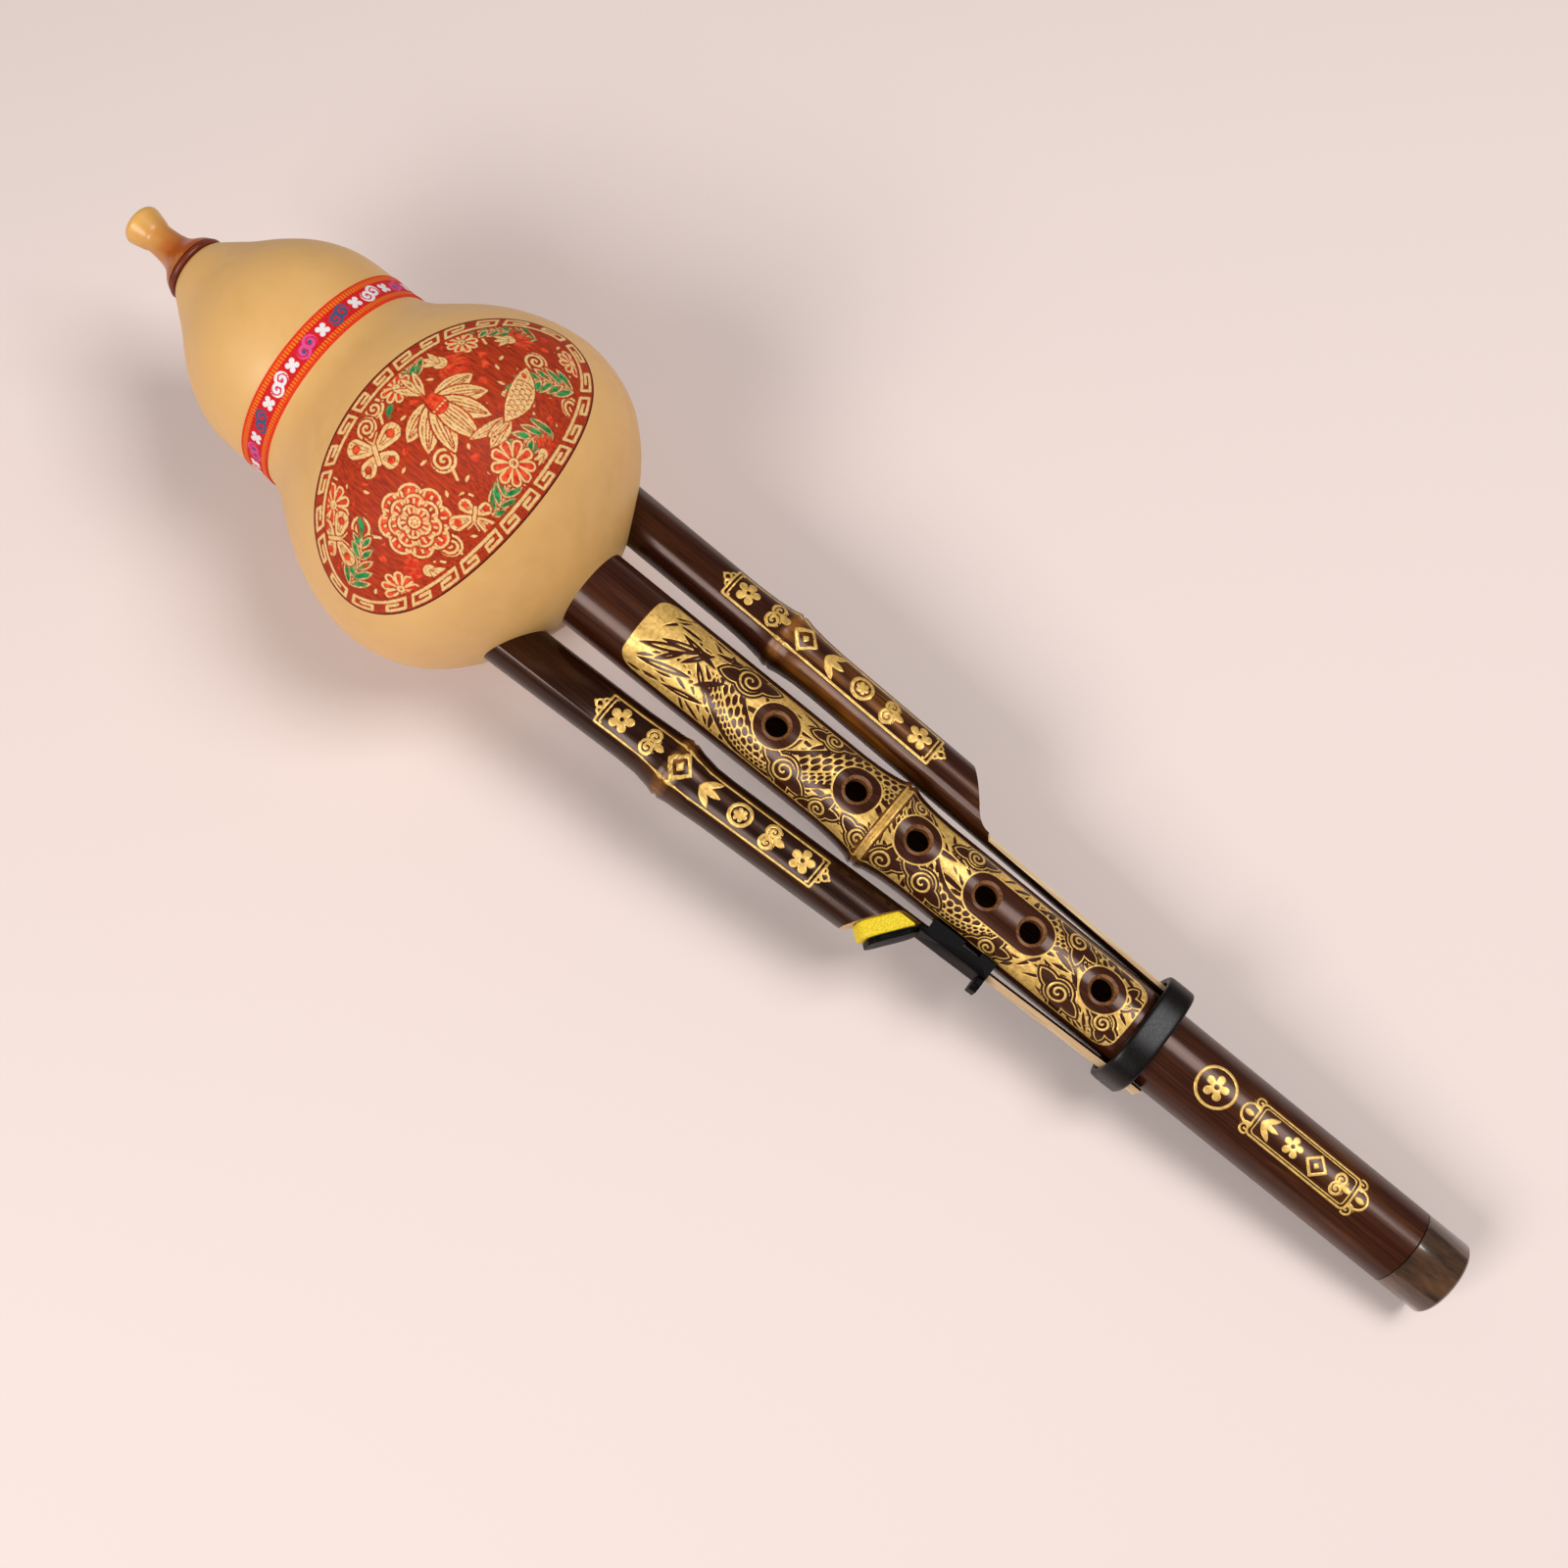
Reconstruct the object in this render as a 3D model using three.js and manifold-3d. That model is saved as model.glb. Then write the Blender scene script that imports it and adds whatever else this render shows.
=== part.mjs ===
// Hulusi: a gourd wind chest, one melody pipe with finger holes and two side pipes.
// Lengths are millimetres. The instrument is drawn along +X from the tip of its mouthpiece, with the finger
// holes facing +Z, then laid down at rest: its belly and its tail on z = 0, the belly on a small flat.
import * as THREE from 'three';
import { mergeVertices } from 'three/addons/utils/BufferGeometryUtils.js';
import Module from 'manifold-3d';

const wasm = await Module();
wasm.setup();

// Fits and cuts
const SEAT_GAP = 0.3;
const OVERRUN = 3;

// Mouthpiece and its collar
const MOUTHPIECE_LENGTH = 19.3;
const MOUTH_TIP_R = 5.6;
const MOUTH_WAIST_R = 4.2;
const MOUTH_BASE_R = 8.9;
const MOUTH_BORE_R = 2.3;
const SPIGOT_R = 5;
const SPIGOT_LENGTH = 12;
const COLLAR_THICKNESS = 1.6;
const COLLAR_R = 9.4;

// Gourd: places are measured from its neck end
const GOURD_LENGTH = 136;
const GOURD_WALL = 3.2;
const NECK_R = 9.2;
const SMALL_BULB_R = 30.5;
const SMALL_BULB_AT = 38.7;
const WAIST_R = 30.1;
const WAIST_AT = 48.5;
const BELLY_R = 49.1;
const BELLY_AT = 94.5;
const REST_FLAT_DEPTH = 0.4;

// Ribbon round the waist
const RIBBON_WIDTH = 8.6;
const RIBBON_THICKNESS = 0.8;
const RIBBON_PAST_WAIST = 0.8;

// Melody pipe: places on it are measured from the gourd's end
const MAIN_LENGTH = 309.2;
const MAIN_INSERT = 50;
const MAIN_TOP_R = 11.5;
const MAIN_END_R = 10.5;
const MAIN_BORE_R = 7.9;
const MAIN_NODE_AT = 94;
const MAIN_NODE_SWELL = 1.9;
const NODE_REACH = 14;
const FINGER_HOLE_R = 3;
const FINGER_HOLE_BEVEL = 0.9;
const FINGER_HOLE_SHARES = [0.2245, 0.3237, 0.3997, 0.4838, 0.5382, 0.625];
const THUMB_HOLE_AT = 35.5;
const PLUG_LENGTH = 6;

// Horn ring on the tail
const TAIL_RING_LENGTH = 13;
const TAIL_RING_CHAMFER = 0.7;
const TAIL_BORE_R = 6.4;
const TAIL_SPIGOT_LENGTH = 8;

// Side pipes: their axes spread and sink a little towards the gourd
const SIDE_PAST_SEAL = 28.4;
const SIDE_STEP_REACH = 8;
const SIDE_DROP_AT_GOURD = 3.2;
const SIDE_NODE_AT = 44.5;
const SIDE_NODE_SWELL = 1.4;
const LEFT_TOP_R = 7.7;
const LEFT_CUT_R = 7;
const LEFT_SPREAD_AT_GOURD = 23.05;
const LEFT_SPREAD_ABOVE_NODE = 22;
const LEFT_SPREAD_BELOW_NODE = 22.75;
const LEFT_SPREAD_AT_CUT = 20.45;
const LEFT_BORE_R = 4.2;
const LEFT_CUT_AT = 107.4;
const LEFT_SLANT_DEG = 36;
const LEFT_CUT_FILLET = 1.4;
const LEFT_TONGUE = 1.4;
const LEFT_TONGUE_PAST_RING = 3.8;
const RIGHT_TOP_R = 7.1;
const RIGHT_CUT_R = 7.05;
const RIGHT_SPREAD_AT_GOURD = 23.35;
const RIGHT_SPREAD_ABOVE_NODE = 22.55;
const RIGHT_SPREAD_BELOW_NODE = 22.2;
const RIGHT_SPREAD_AT_CUT = 20.2;
const RIGHT_BORE_R = 3.9;
const RIGHT_CUT_AT = 108.4;
const RIGHT_SLANT_DEG = 40.7;
const RIGHT_CUT_FILLET = 3.4;
const RIGHT_TONGUE = 1.9;
const RIGHT_TONGUE_SHORT = 1;
const RIGHT_TONGUE_HALF_HEIGHT = 3;
const RIGHT_TRIM_RUN = 3;

// Clamp ring
const RING_AT = 174;
const RING_LENGTH = 7.5;
const RING_WALL = 2.1;
const RING_EDGE = 0.9;
const RING_SIDE_EASE = 0.7;
const RING_ROUNDNESS = 2.8;

// Drone slider and its pad
const SLIDER_AT = 119.2;
const SLIDER_LENGTH = 19;
const SLIDER_PLATE = 1.4;
const SLIDER_WALL = 0.8;
const SLIDER_LIP_REACH = 1.5;
const SLIDER_LIP_INNER = 0.6;
const SLIDER_LIP_WIDTH = 1.235;
const SLIDER_LIP_GAP = 0.33;
const SLIDER_NOTCH = 5;
const LUG_THICKNESS = 2.1;
const LUG_REACH = 3.8;
const LUG_HALF_HEIGHT = 4;
const HEAD_THICKNESS = 1.5;
const PAD_THICKNESS = 4.5;
const PAD_LENGTH = 14.1;
const PAD_HEIGHT = 12.4;
const PAD_CORNER = 3.2;
const PAD_EDGE = 0.5;

// Reeds, with the beds cut for them in the pipes' inner ends
const MAIN_REED = {
  at: 9, length: 20, width: 9, bed: 1.5, windowLength: 14, windowWidth: 5, tongueWidth: 3,
};
const LEFT_REED = {
  at: 8, length: 15, width: 6.2, bed: 1.3, windowLength: 11, windowWidth: 3.6, tongueWidth: 2.2,
};
const REED_BED_SPARE = 1;
const REED_THICKNESS = 0.5;
const REED_SLIT = 0.35;
const WAX_THICKNESS = 1.2;
const WAX_WIDTH = 0.7;
const SEAL_WALL = 1.7;
const SEAL_LENGTH = 3.6;

// Facets
const GOURD_SEGMENTS = 48;
const MAIN_SEGMENTS = 36;
const SIDE_SEGMENTS = 28;
const HOLE_SEGMENTS = 20;
const SMALL_SEGMENTS = 24;
const RING_SEGMENTS = 44;
const CURVE_SEGMENTS = 6;
const EDGE_SEGMENTS = 2;

// Places that follow from the sizes
const collarX = MOUTHPIECE_LENGTH + SEAT_GAP;
const gourdX = collarX + COLLAR_THICKNESS + SEAT_GAP;
const gourdEndX = gourdX + GOURD_LENGTH;
const mainX = gourdEndX - MAIN_INSERT;
const mainEndX = mainX + MAIN_LENGTH;
const mainFree = mainEndX - gourdEndX;
const tailX = mainEndX + SEAT_GAP;
const tailEndX = tailX + TAIL_RING_LENGTH;
const ringX = gourdEndX + RING_AT;
const ringEndX = ringX + RING_LENGTH;
const sliderX = gourdEndX + SLIDER_AT;
const sliderEndX = sliderX + SLIDER_LENGTH;

// Turns a closed geometry into a solid, with its shared corners merged and its faces pointing out.
function solidOf(geometry) {
  const bare = new THREE.BufferGeometry();
  bare.setAttribute('position', geometry.getAttribute('position'));
  if (geometry.index) bare.setIndex(geometry.index);
  const merged = mergeVertices(bare);
  const corners = merged.getAttribute('position').array;
  const kept = [];
  let volume = 0;
  const index = merged.index.array;
  for (let i = 0; i < index.length; i += 3) {
    const [a, b, c] = [index[i], index[i + 1], index[i + 2]];
    if (a === b || b === c || c === a) continue;
    kept.push([a, b, c]);
    const pa = new THREE.Vector3().fromArray(corners, a * 3);
    const pb = new THREE.Vector3().fromArray(corners, b * 3);
    const pc = new THREE.Vector3().fromArray(corners, c * 3);
    volume += pa.dot(pb.cross(pc));
  }
  const triVerts = new Uint32Array(kept.flatMap(([a, b, c]) => (volume > 0 ? [a, b, c] : [a, c, b])));
  return new wasm.Manifold(new wasm.Mesh({ numProp: 3, vertProperties: corners, triVerts }));
}

function geometryOf(solid) {
  const mesh = solid.getMesh();
  const geometry = new THREE.BufferGeometry();
  geometry.setAttribute('position', new THREE.BufferAttribute(mesh.vertProperties, mesh.numProp));
  geometry.setIndex(new THREE.BufferAttribute(mesh.triVerts, 1));
  geometry.computeVertexNormals();
  return geometry;
}

// A body turned about the X axis from [x, radius] pairs. The outline closes on itself, or on the axis.
function turned(outline, segments) {
  const points = outline.map(([x, r]) => new THREE.Vector2(r, x));
  return solidOf(new THREE.LatheGeometry(points, segments).rotateZ(-Math.PI / 2));
}

// A ring turned about the X axis between two radii.
function turnedRing(x0, x1, inner, outer, segments) {
  return turned([[x0, inner], [x0, outer], [x1, outer], [x1, inner], [x0, inner]], segments);
}

// A round bar through stations { x, y, z, r }, each a circle square to X.
function roundBar(stations, segments) {
  const positions = [];
  const index = [];
  for (const { x, y, z, r } of stations) {
    for (let k = 0; k < segments; k += 1) {
      const angle = (2 * Math.PI * k) / segments;
      positions.push(x, y + r * Math.cos(angle), z + r * Math.sin(angle));
    }
  }
  const last = stations.length - 1;
  for (let i = 0; i < last; i += 1) {
    for (let k = 0; k < segments; k += 1) {
      const a = i * segments + k;
      const b = i * segments + ((k + 1) % segments);
      index.push(a, b, b + segments, a, b + segments, a + segments);
    }
  }
  for (let k = 1; k < segments - 1; k += 1) {
    index.push(0, k + 1, k);
    index.push(last * segments, last * segments + k, last * segments + k + 1);
  }
  const geometry = new THREE.BufferGeometry();
  geometry.setAttribute('position', new THREE.Float32BufferAttribute(positions, 3));
  geometry.setIndex(index);
  return solidOf(geometry);
}

// A block between two corners.
function block(low, high) {
  const size = high.clone().sub(low);
  const geometry = new THREE.BoxGeometry(size.x, size.y, size.z);
  const middle = low.clone().add(high).divideScalar(2);
  return geometry.translate(middle.x, middle.y, middle.z);
}

// A flat shape given thickness, then carried into the frame whose axes are the matrix's columns.
function slab(shape, thickness, frame, edge = 0) {
  const geometry = new THREE.ExtrudeGeometry(shape, {
    depth: thickness - 2 * edge,
    bevelEnabled: edge > 0,
    bevelThickness: edge,
    bevelSize: edge,
    bevelOffset: -edge,
    bevelSegments: EDGE_SEGMENTS,
    curveSegments: CURVE_SEGMENTS,
  });
  return solidOf(geometry.translate(0, 0, edge).applyMatrix4(frame));
}

// A frame at a point, from the directions of a shape's own x, y and thickness.
function frameAt(point, across, up, along) {
  return new THREE.Matrix4().makeBasis(across, up, along).setPosition(point);
}

function polygon(points) {
  return new THREE.Shape(points.map(([a, b]) => new THREE.Vector2(a, b)));
}

function roundedRectangle(a0, b0, a1, b1, radius) {
  const shape = new THREE.Shape();
  shape.absarc(a1 - radius, b0 + radius, radius, -Math.PI / 2, 0);
  shape.absarc(a1 - radius, b1 - radius, radius, 0, Math.PI / 2);
  shape.absarc(a0 + radius, b1 - radius, radius, Math.PI / 2, Math.PI);
  shape.absarc(a0 + radius, b0 + radius, radius, Math.PI, (3 * Math.PI) / 2);
  return shape;
}

function superellipse(halfWidth, halfHeight, exponent, count) {
  const points = [];
  for (let k = 0; k < count; k += 1) {
    const angle = (2 * Math.PI * k) / count;
    const c = Math.cos(angle);
    const s = Math.sin(angle);
    points.push(new THREE.Vector2(
      halfWidth * Math.sign(c) * Math.abs(c) ** (2 / exponent),
      halfHeight * Math.sign(s) * Math.abs(s) ** (2 / exponent),
    ));
  }
  return points;
}

// How a bamboo node swells a pipe: share of the reach along it, share of the swell.
const nodeShares = [
  [-1, 0], [-0.55, 0.2], [-0.2, 0.6], [-0.06, 1], [0, 0.66], [0.06, 0.94], [0.25, 0.5], [0.6, 0.14], [1, 0],
];

// Outline of the gourd: share of the way from one named place to the next, share of the change in radius.
const smallBulbShares = [
  [0, 0], [0.12, 0.165], [0.25, 0.345], [0.41, 0.595], [0.59, 0.815], [0.79, 0.957], [1, 1],
];
const upperBellyShares = [
  [0.1, 0.03], [0.2, 0.135], [0.31, 0.33], [0.44, 0.56], [0.61, 0.785], [0.8, 0.94], [1, 1],
];
const lowerBellyShares = [
  [0.217, 0.971], [0.41, 0.9], [0.56, 0.797], [0.67, 0.69],
  [0.78, 0.55], [0.875, 0.4], [0.95, 0.235], [0.985, 0.12],
];

function gourdOutline() {
  const smallX = gourdX + SMALL_BULB_AT;
  const waistX = gourdX + WAIST_AT;
  const bellyX = gourdX + BELLY_AT;
  const points = [];
  for (const [along, rise] of smallBulbShares) {
    points.push([gourdX + along * SMALL_BULB_AT, NECK_R + rise * (SMALL_BULB_R - NECK_R)]);
  }
  points.push([waistX, WAIST_R]);
  for (const [along, rise] of upperBellyShares) {
    points.push([waistX + along * (bellyX - waistX), WAIST_R + rise * (BELLY_R - WAIST_R)]);
  }
  for (const [along, left] of lowerBellyShares) {
    points.push([bellyX + along * (gourdEndX - bellyX), left * BELLY_R]);
  }
  return points;
}

// The outline moved inwards along its own normals, or outwards where the distance is negative.
function movedInwards(points, distance) {
  return points.map(([x, r], i) => {
    const [x0, r0] = points[Math.max(i - 1, 0)];
    const [x1, r1] = points[Math.min(i + 1, points.length - 1)];
    const length = Math.hypot(x1 - x0, r1 - r0);
    return [x + (distance * (r1 - r0)) / length, r - (distance * (x1 - x0)) / length];
  });
}

// The hollow of the gourd, with its wall thickened by an extra gap when asked.
function gourdHollow(gap) {
  const wall = GOURD_WALL + gap;
  const inner = movedInwards(gourdOutline(), wall).filter(([x, r]) => r > wall && x > gourdX + wall);
  return turned([[inner[0][0], 0], ...inner, [gourdEndX - wall, 0]], GOURD_SEGMENTS);
}

function gourdRadiusAt(x) {
  const points = gourdOutline();
  const i = Math.max(1, points.findIndex(([px]) => px >= x));
  const [x0, r0] = points[i - 1];
  const [x1, r1] = points[i];
  return THREE.MathUtils.mapLinear(x, x0, x1, r0, r1);
}

// Where the hollow, past the belly, has drawn in to a radius.
function hollowDrawnIn(radius) {
  const points = movedInwards(gourdOutline(), GOURD_WALL + SEAT_GAP).filter(([x]) => x >= gourdX + BELLY_AT);
  const i = Math.max(1, points.findIndex(([, r]) => r <= radius));
  const [x0, r0] = points[i - 1];
  const [x1, r1] = points[i];
  return THREE.MathUtils.mapLinear(radius, r0, r1, x0, x1);
}

// The side pipes' wax seals start ahead of where they first meet the wall, and the pipes' inner ends lie
// further in, so that the reed is clear of the wax.
const sideWaxReach = Math.hypot(Math.max(LEFT_SPREAD_AT_GOURD, RIGHT_SPREAD_AT_GOURD), SIDE_DROP_AT_GOURD)
  + Math.max(LEFT_TOP_R, RIGHT_TOP_R) + SEAT_GAP + SEAL_WALL;
const sideSealX = hollowDrawnIn(sideWaxReach) - SEAL_LENGTH;
const sideX = sideSealX - SIDE_PAST_SEAL;

// Pipes
function mainRadiusAt(x) {
  return THREE.MathUtils.mapLinear(x, mainX, mainEndX, MAIN_TOP_R, MAIN_END_R);
}

function mainStations() {
  const nodeX = gourdEndX + MAIN_NODE_AT;
  const swelling = nodeShares.map(([along, swell]) => {
    const x = nodeX + along * NODE_REACH;
    return { x, y: 0, z: 0, r: mainRadiusAt(x) + swell * MAIN_NODE_SWELL };
  });
  return [{ x: mainX, y: 0, z: 0, r: MAIN_TOP_R }, ...swelling, { x: mainEndX, y: 0, z: 0, r: MAIN_END_R }];
}

// A side pipe's sizes, and the line of its skin nearest the melody pipe. The pipe steps a little at its
// node, as bamboo does, and runs straight on either side of it, to its cut. Then its inner wall goes on as
// a tongue that leans in to the melody pipe and lies under the ring. The spreads are how far its axis is
// from the melody pipe's at the gourd, above the node, below the node and at the cut.
function sidePipe(side, topR, cutR, boreR, spreads, cutAt, slantDeg, fillet, tongue, endX) {
  const cutX = gourdEndX + cutAt;
  const nodeX = gourdEndX + SIDE_NODE_AT;
  const slant = THREE.MathUtils.degToRad(slantDeg);
  const leanX = cutX + cutR * Math.tan(slant);
  const stops = [gourdEndX, nodeX - SIDE_STEP_REACH, nodeX + SIDE_STEP_REACH, cutX];
  const straightSpread = (x) => {
    const passed = stops.slice(1, -1).filter((stop) => x >= stop).length;
    return THREE.MathUtils.mapLinear(
      x, stops[passed], stops[passed + 1], spreads[passed], spreads[passed + 1]);
  };
  const radiusAt = (x) => THREE.MathUtils.mapLinear(Math.min(x, leanX), sideX, cutX, topR, cutR);
  const straightSkin = (x) => straightSpread(x) - radiusAt(x);
  const heldSkin = mainRadiusAt(ringX) + SEAT_GAP;
  const skinAt = (x) => {
    if (x <= leanX) return straightSkin(x);
    if (x >= ringX) return heldSkin;
    return THREE.MathUtils.mapLinear(x, leanX, ringX, straightSkin(leanX), heldSkin);
  };
  const heightAt = (x) => -SIDE_DROP_AT_GOURD * Math.max(0, (cutX - x) / (cutX - gourdEndX));
  const centreAt = (x) => new THREE.Vector3(x, side * (skinAt(x) + radiusAt(x)), heightAt(x));
  return { side, topR, cutR, boreR, cutX, slant, fillet, tongue, endX, leanX, radiusAt, skinAt, centreAt };
}

const leftPipe = sidePipe(
  -1, LEFT_TOP_R, LEFT_CUT_R, LEFT_BORE_R,
  [LEFT_SPREAD_AT_GOURD, LEFT_SPREAD_ABOVE_NODE, LEFT_SPREAD_BELOW_NODE, LEFT_SPREAD_AT_CUT],
  LEFT_CUT_AT, LEFT_SLANT_DEG, LEFT_CUT_FILLET, LEFT_TONGUE, ringEndX + LEFT_TONGUE_PAST_RING);
const rightPipe = sidePipe(
  1, RIGHT_TOP_R, RIGHT_CUT_R, RIGHT_BORE_R,
  [RIGHT_SPREAD_AT_GOURD, RIGHT_SPREAD_ABOVE_NODE, RIGHT_SPREAD_BELOW_NODE, RIGHT_SPREAD_AT_CUT],
  RIGHT_CUT_AT, RIGHT_SLANT_DEG, RIGHT_CUT_FILLET, RIGHT_TONGUE, ringEndX - RIGHT_TONGUE_SHORT);

function sideStation(pipe, x, r) {
  const centre = pipe.centreAt(x);
  return { x, y: centre.y, z: centre.z, r };
}

// What the knife takes off a side pipe: all that lies beyond its slanted mouth and outside its tongue,
// with a round inner corner where the two cuts meet.
function sideCut(pipe) {
  const lean = Math.tan(pipe.slant);
  const far = pipe.skinAt(sideX) + 2 * pipe.topR + OVERRUN;
  const slantX = (spread) => pipe.cutX - (spread - (pipe.skinAt(pipe.cutX) + pipe.cutR)) * lean;
  const cornerSpread = pipe.skinAt(slantX(pipe.skinAt(pipe.leanX) + pipe.tongue)) + pipe.tongue;
  const corner = new THREE.Vector2(slantX(cornerSpread), cornerSpread);
  const before = corner.clone().add(
    new THREE.Vector2(-Math.sin(pipe.slant), Math.cos(pipe.slant)).multiplyScalar(pipe.fillet));
  const afterX = corner.x + pipe.fillet;
  const after = new THREE.Vector2(afterX, pipe.skinAt(afterX) + pipe.tongue);
  const round = new THREE.QuadraticBezierCurve(before, corner, after).getPoints(CURVE_SEGMENTS);
  const beyondX = pipe.endX + OVERRUN;
  const outline = [
    new THREE.Vector2(slantX(far), far),
    ...round,
    new THREE.Vector2(ringX, pipe.skinAt(ringX) + pipe.tongue),
    new THREE.Vector2(beyondX, pipe.skinAt(beyondX) + pipe.tongue),
    new THREE.Vector2(beyondX, far),
  ];
  const height = pipe.topR + SIDE_NODE_SWELL + OVERRUN;
  const frame = new THREE.Matrix4().makeScale(1, pipe.side, 1).setPosition(0, 0, -height);
  return slab(new THREE.Shape(outline), 2 * height, frame);
}

// What the knife takes off the long edges of the right tongue, so that they are flat and of one height.
function rightTongueTrim() {
  const startX = rightPipe.leanX;
  const flatX = startX + RIGHT_TRIM_RUN;
  const beyondX = rightPipe.endX + OVERRUN;
  const high = RIGHT_TOP_R + OVERRUN;
  const reach = rightPipe.skinAt(sideX) + 2 * RIGHT_TOP_R + OVERRUN;
  const frame = frameAt(new THREE.Vector3(0, reach, 0), new THREE.Vector3(1, 0, 0),
    new THREE.Vector3(0, 0, 1), new THREE.Vector3(0, -1, 0));
  const [above, below] = [1, -1].map((way) => slab(polygon([
    [startX, way * high], [startX, way * RIGHT_CUT_R], [flatX, way * RIGHT_TONGUE_HALF_HEIGHT],
    [beyondX, way * RIGHT_TONGUE_HALF_HEIGHT], [beyondX, way * high],
  ]), reach, frame));
  return above.add(below);
}

function sidePipeSolid(pipe) {
  const nodeX = gourdEndX + SIDE_NODE_AT;
  const swelling = nodeShares.map(([along, swell]) => {
    const x = nodeX + along * NODE_REACH;
    return sideStation(pipe, x, pipe.radiusAt(x) + swell * SIDE_NODE_SWELL);
  });
  const outer = roundBar([
    sideStation(pipe, sideX, pipe.topR),
    ...swelling,
    ...[pipe.leanX, ringX, pipe.endX].map((x) => sideStation(pipe, x, pipe.radiusAt(x))),
  ], SIDE_SEGMENTS);
  const boreEndX = pipe.leanX + pipe.fillet;
  const bore = roundBar(
    [sideX - OVERRUN, pipe.leanX, boreEndX].map((x) => sideStation(pipe, x, pipe.boreR)), SIDE_SEGMENTS);
  return outer.subtract(bore).subtract(sideCut(pipe));
}

// The frame of a flat reed bed, on the top of a pipe whose axis passes through centre.
function bedFrame(pipe, reed) {
  const centre = pipe.centreAt(pipe.startX + reed.at + reed.length / 2);
  const ahead = pipe.centreAt(centre.x + reed.length).sub(centre).normalize();
  const across = new THREE.Vector3(0, 1, 0).addScaledVector(ahead, -ahead.y).normalize();
  const up = ahead.clone().cross(across);
  centre.addScaledVector(up, pipe.startR - reed.bed);
  return frameAt(centre, ahead, across, up);
}

const mainBed = bedFrame({
  startX: mainX, startR: MAIN_TOP_R, centreAt: (x) => new THREE.Vector3(x, 0, 0),
}, MAIN_REED);
const leftBed = bedFrame({ startX: sideX, startR: LEFT_TOP_R, centreAt: leftPipe.centreAt }, LEFT_REED);

// What is cut from a pipe for its reed: a flat bed, and a window through the wall under it.
function reedCut(reed, frame, depth) {
  const waxReach = 2 * (SEAT_GAP + WAX_WIDTH);
  const length = reed.length + waxReach + REED_BED_SPARE;
  const bed = block(
    new THREE.Vector3(-length / 2, -depth, 0), new THREE.Vector3(length / 2, depth, depth));
  const window = block(
    new THREE.Vector3(-reed.windowLength / 2, -reed.windowWidth / 2, -depth),
    new THREE.Vector3(reed.windowLength / 2, reed.windowWidth / 2, OVERRUN));
  return solidOf(bed.applyMatrix4(frame)).add(solidOf(window.applyMatrix4(frame)));
}

// The frame of what lies on a bed, the seat's gap above it.
function seatedOn(frame) {
  return frame.clone().multiply(new THREE.Matrix4().makeTranslation(0, 0, SEAT_GAP));
}

// A brass plate whose pointed tongue is freed by one slit.
function reedSolid(reed, frame) {
  const plate = polygon([
    [-reed.length / 2, -reed.width / 2], [reed.length / 2, -reed.width / 2],
    [reed.length / 2, reed.width / 2], [-reed.length / 2, reed.width / 2],
  ]);
  const rootX = -reed.windowLength / 2;
  const tipX = reed.windowLength / 2;
  const half = reed.tongueWidth / 2;
  const slit = new THREE.Path([
    [rootX, half], [tipX, REED_SLIT], [tipX, -REED_SLIT], [rootX, -half], [rootX, -half - REED_SLIT],
    [tipX + REED_SLIT, -2 * REED_SLIT], [tipX + REED_SLIT, 2 * REED_SLIT], [rootX, half + REED_SLIT],
  ].map(([a, b]) => new THREE.Vector2(a, b)));
  plate.holes.push(slit);
  return slab(plate, REED_THICKNESS, seatedOn(frame));
}

// The wax round a reed plate.
function waxSolid(reed, frame) {
  const inA = reed.length / 2 + SEAT_GAP;
  const inB = reed.width / 2 + SEAT_GAP;
  const outA = inA + WAX_WIDTH;
  const outB = inB + WAX_WIDTH;
  const dam = polygon([[-outA, -outB], [outA, -outB], [outA, outB], [-outA, outB]]);
  dam.holes.push(new THREE.Path([
    new THREE.Vector2(-inA, -inB), new THREE.Vector2(-inA, inB),
    new THREE.Vector2(inA, inB), new THREE.Vector2(inA, -inB),
  ]));
  return slab(dam, WAX_THICKNESS, seatedOn(frame));
}

// Mouthpiece: the tip's bead in shares of how far it stands out, then the flare in shares of the
// mouthpiece's length and of the flare's rise.
const beadShares = [[0, 0], [0.33, 0.67], [1, 1], [2, 0.83], [4, 0.33]];
const flareShares = [
  [0.36, 0], [0.5, 0.02], [0.62, 0.08], [0.72, 0.19], [0.785, 0.34], [0.85, 0.56], [0.92, 0.82], [1, 1],
];

function mouthpieceSolid() {
  const beadRise = MOUTH_TIP_R - MOUTH_WAIST_R;
  const flareRise = MOUTH_BASE_R - MOUTH_WAIST_R;
  return turned([
    [0, MOUTH_BORE_R],
    ...beadShares.map(([along, rise]) => [along * beadRise, MOUTH_WAIST_R + rise * beadRise]),
    ...flareShares.map(([along, rise]) => [along * MOUTHPIECE_LENGTH, MOUTH_WAIST_R + rise * flareRise]),
    [MOUTHPIECE_LENGTH, SPIGOT_R],
    [MOUTHPIECE_LENGTH + SPIGOT_LENGTH, SPIGOT_R],
    [MOUTHPIECE_LENGTH + SPIGOT_LENGTH, MOUTH_BORE_R],
    [0, MOUTH_BORE_R],
  ], SMALL_SEGMENTS);
}

function collarSolid() {
  const hole = SPIGOT_R + SEAT_GAP;
  const round = COLLAR_THICKNESS / 4;
  const endX = collarX + COLLAR_THICKNESS;
  return turned([
    [collarX, hole], [collarX, COLLAR_R - round], [collarX + round, COLLAR_R], [endX - round, COLLAR_R],
    [endX, COLLAR_R - round], [endX, hole], [collarX, hole],
  ], SMALL_SEGMENTS);
}

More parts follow.
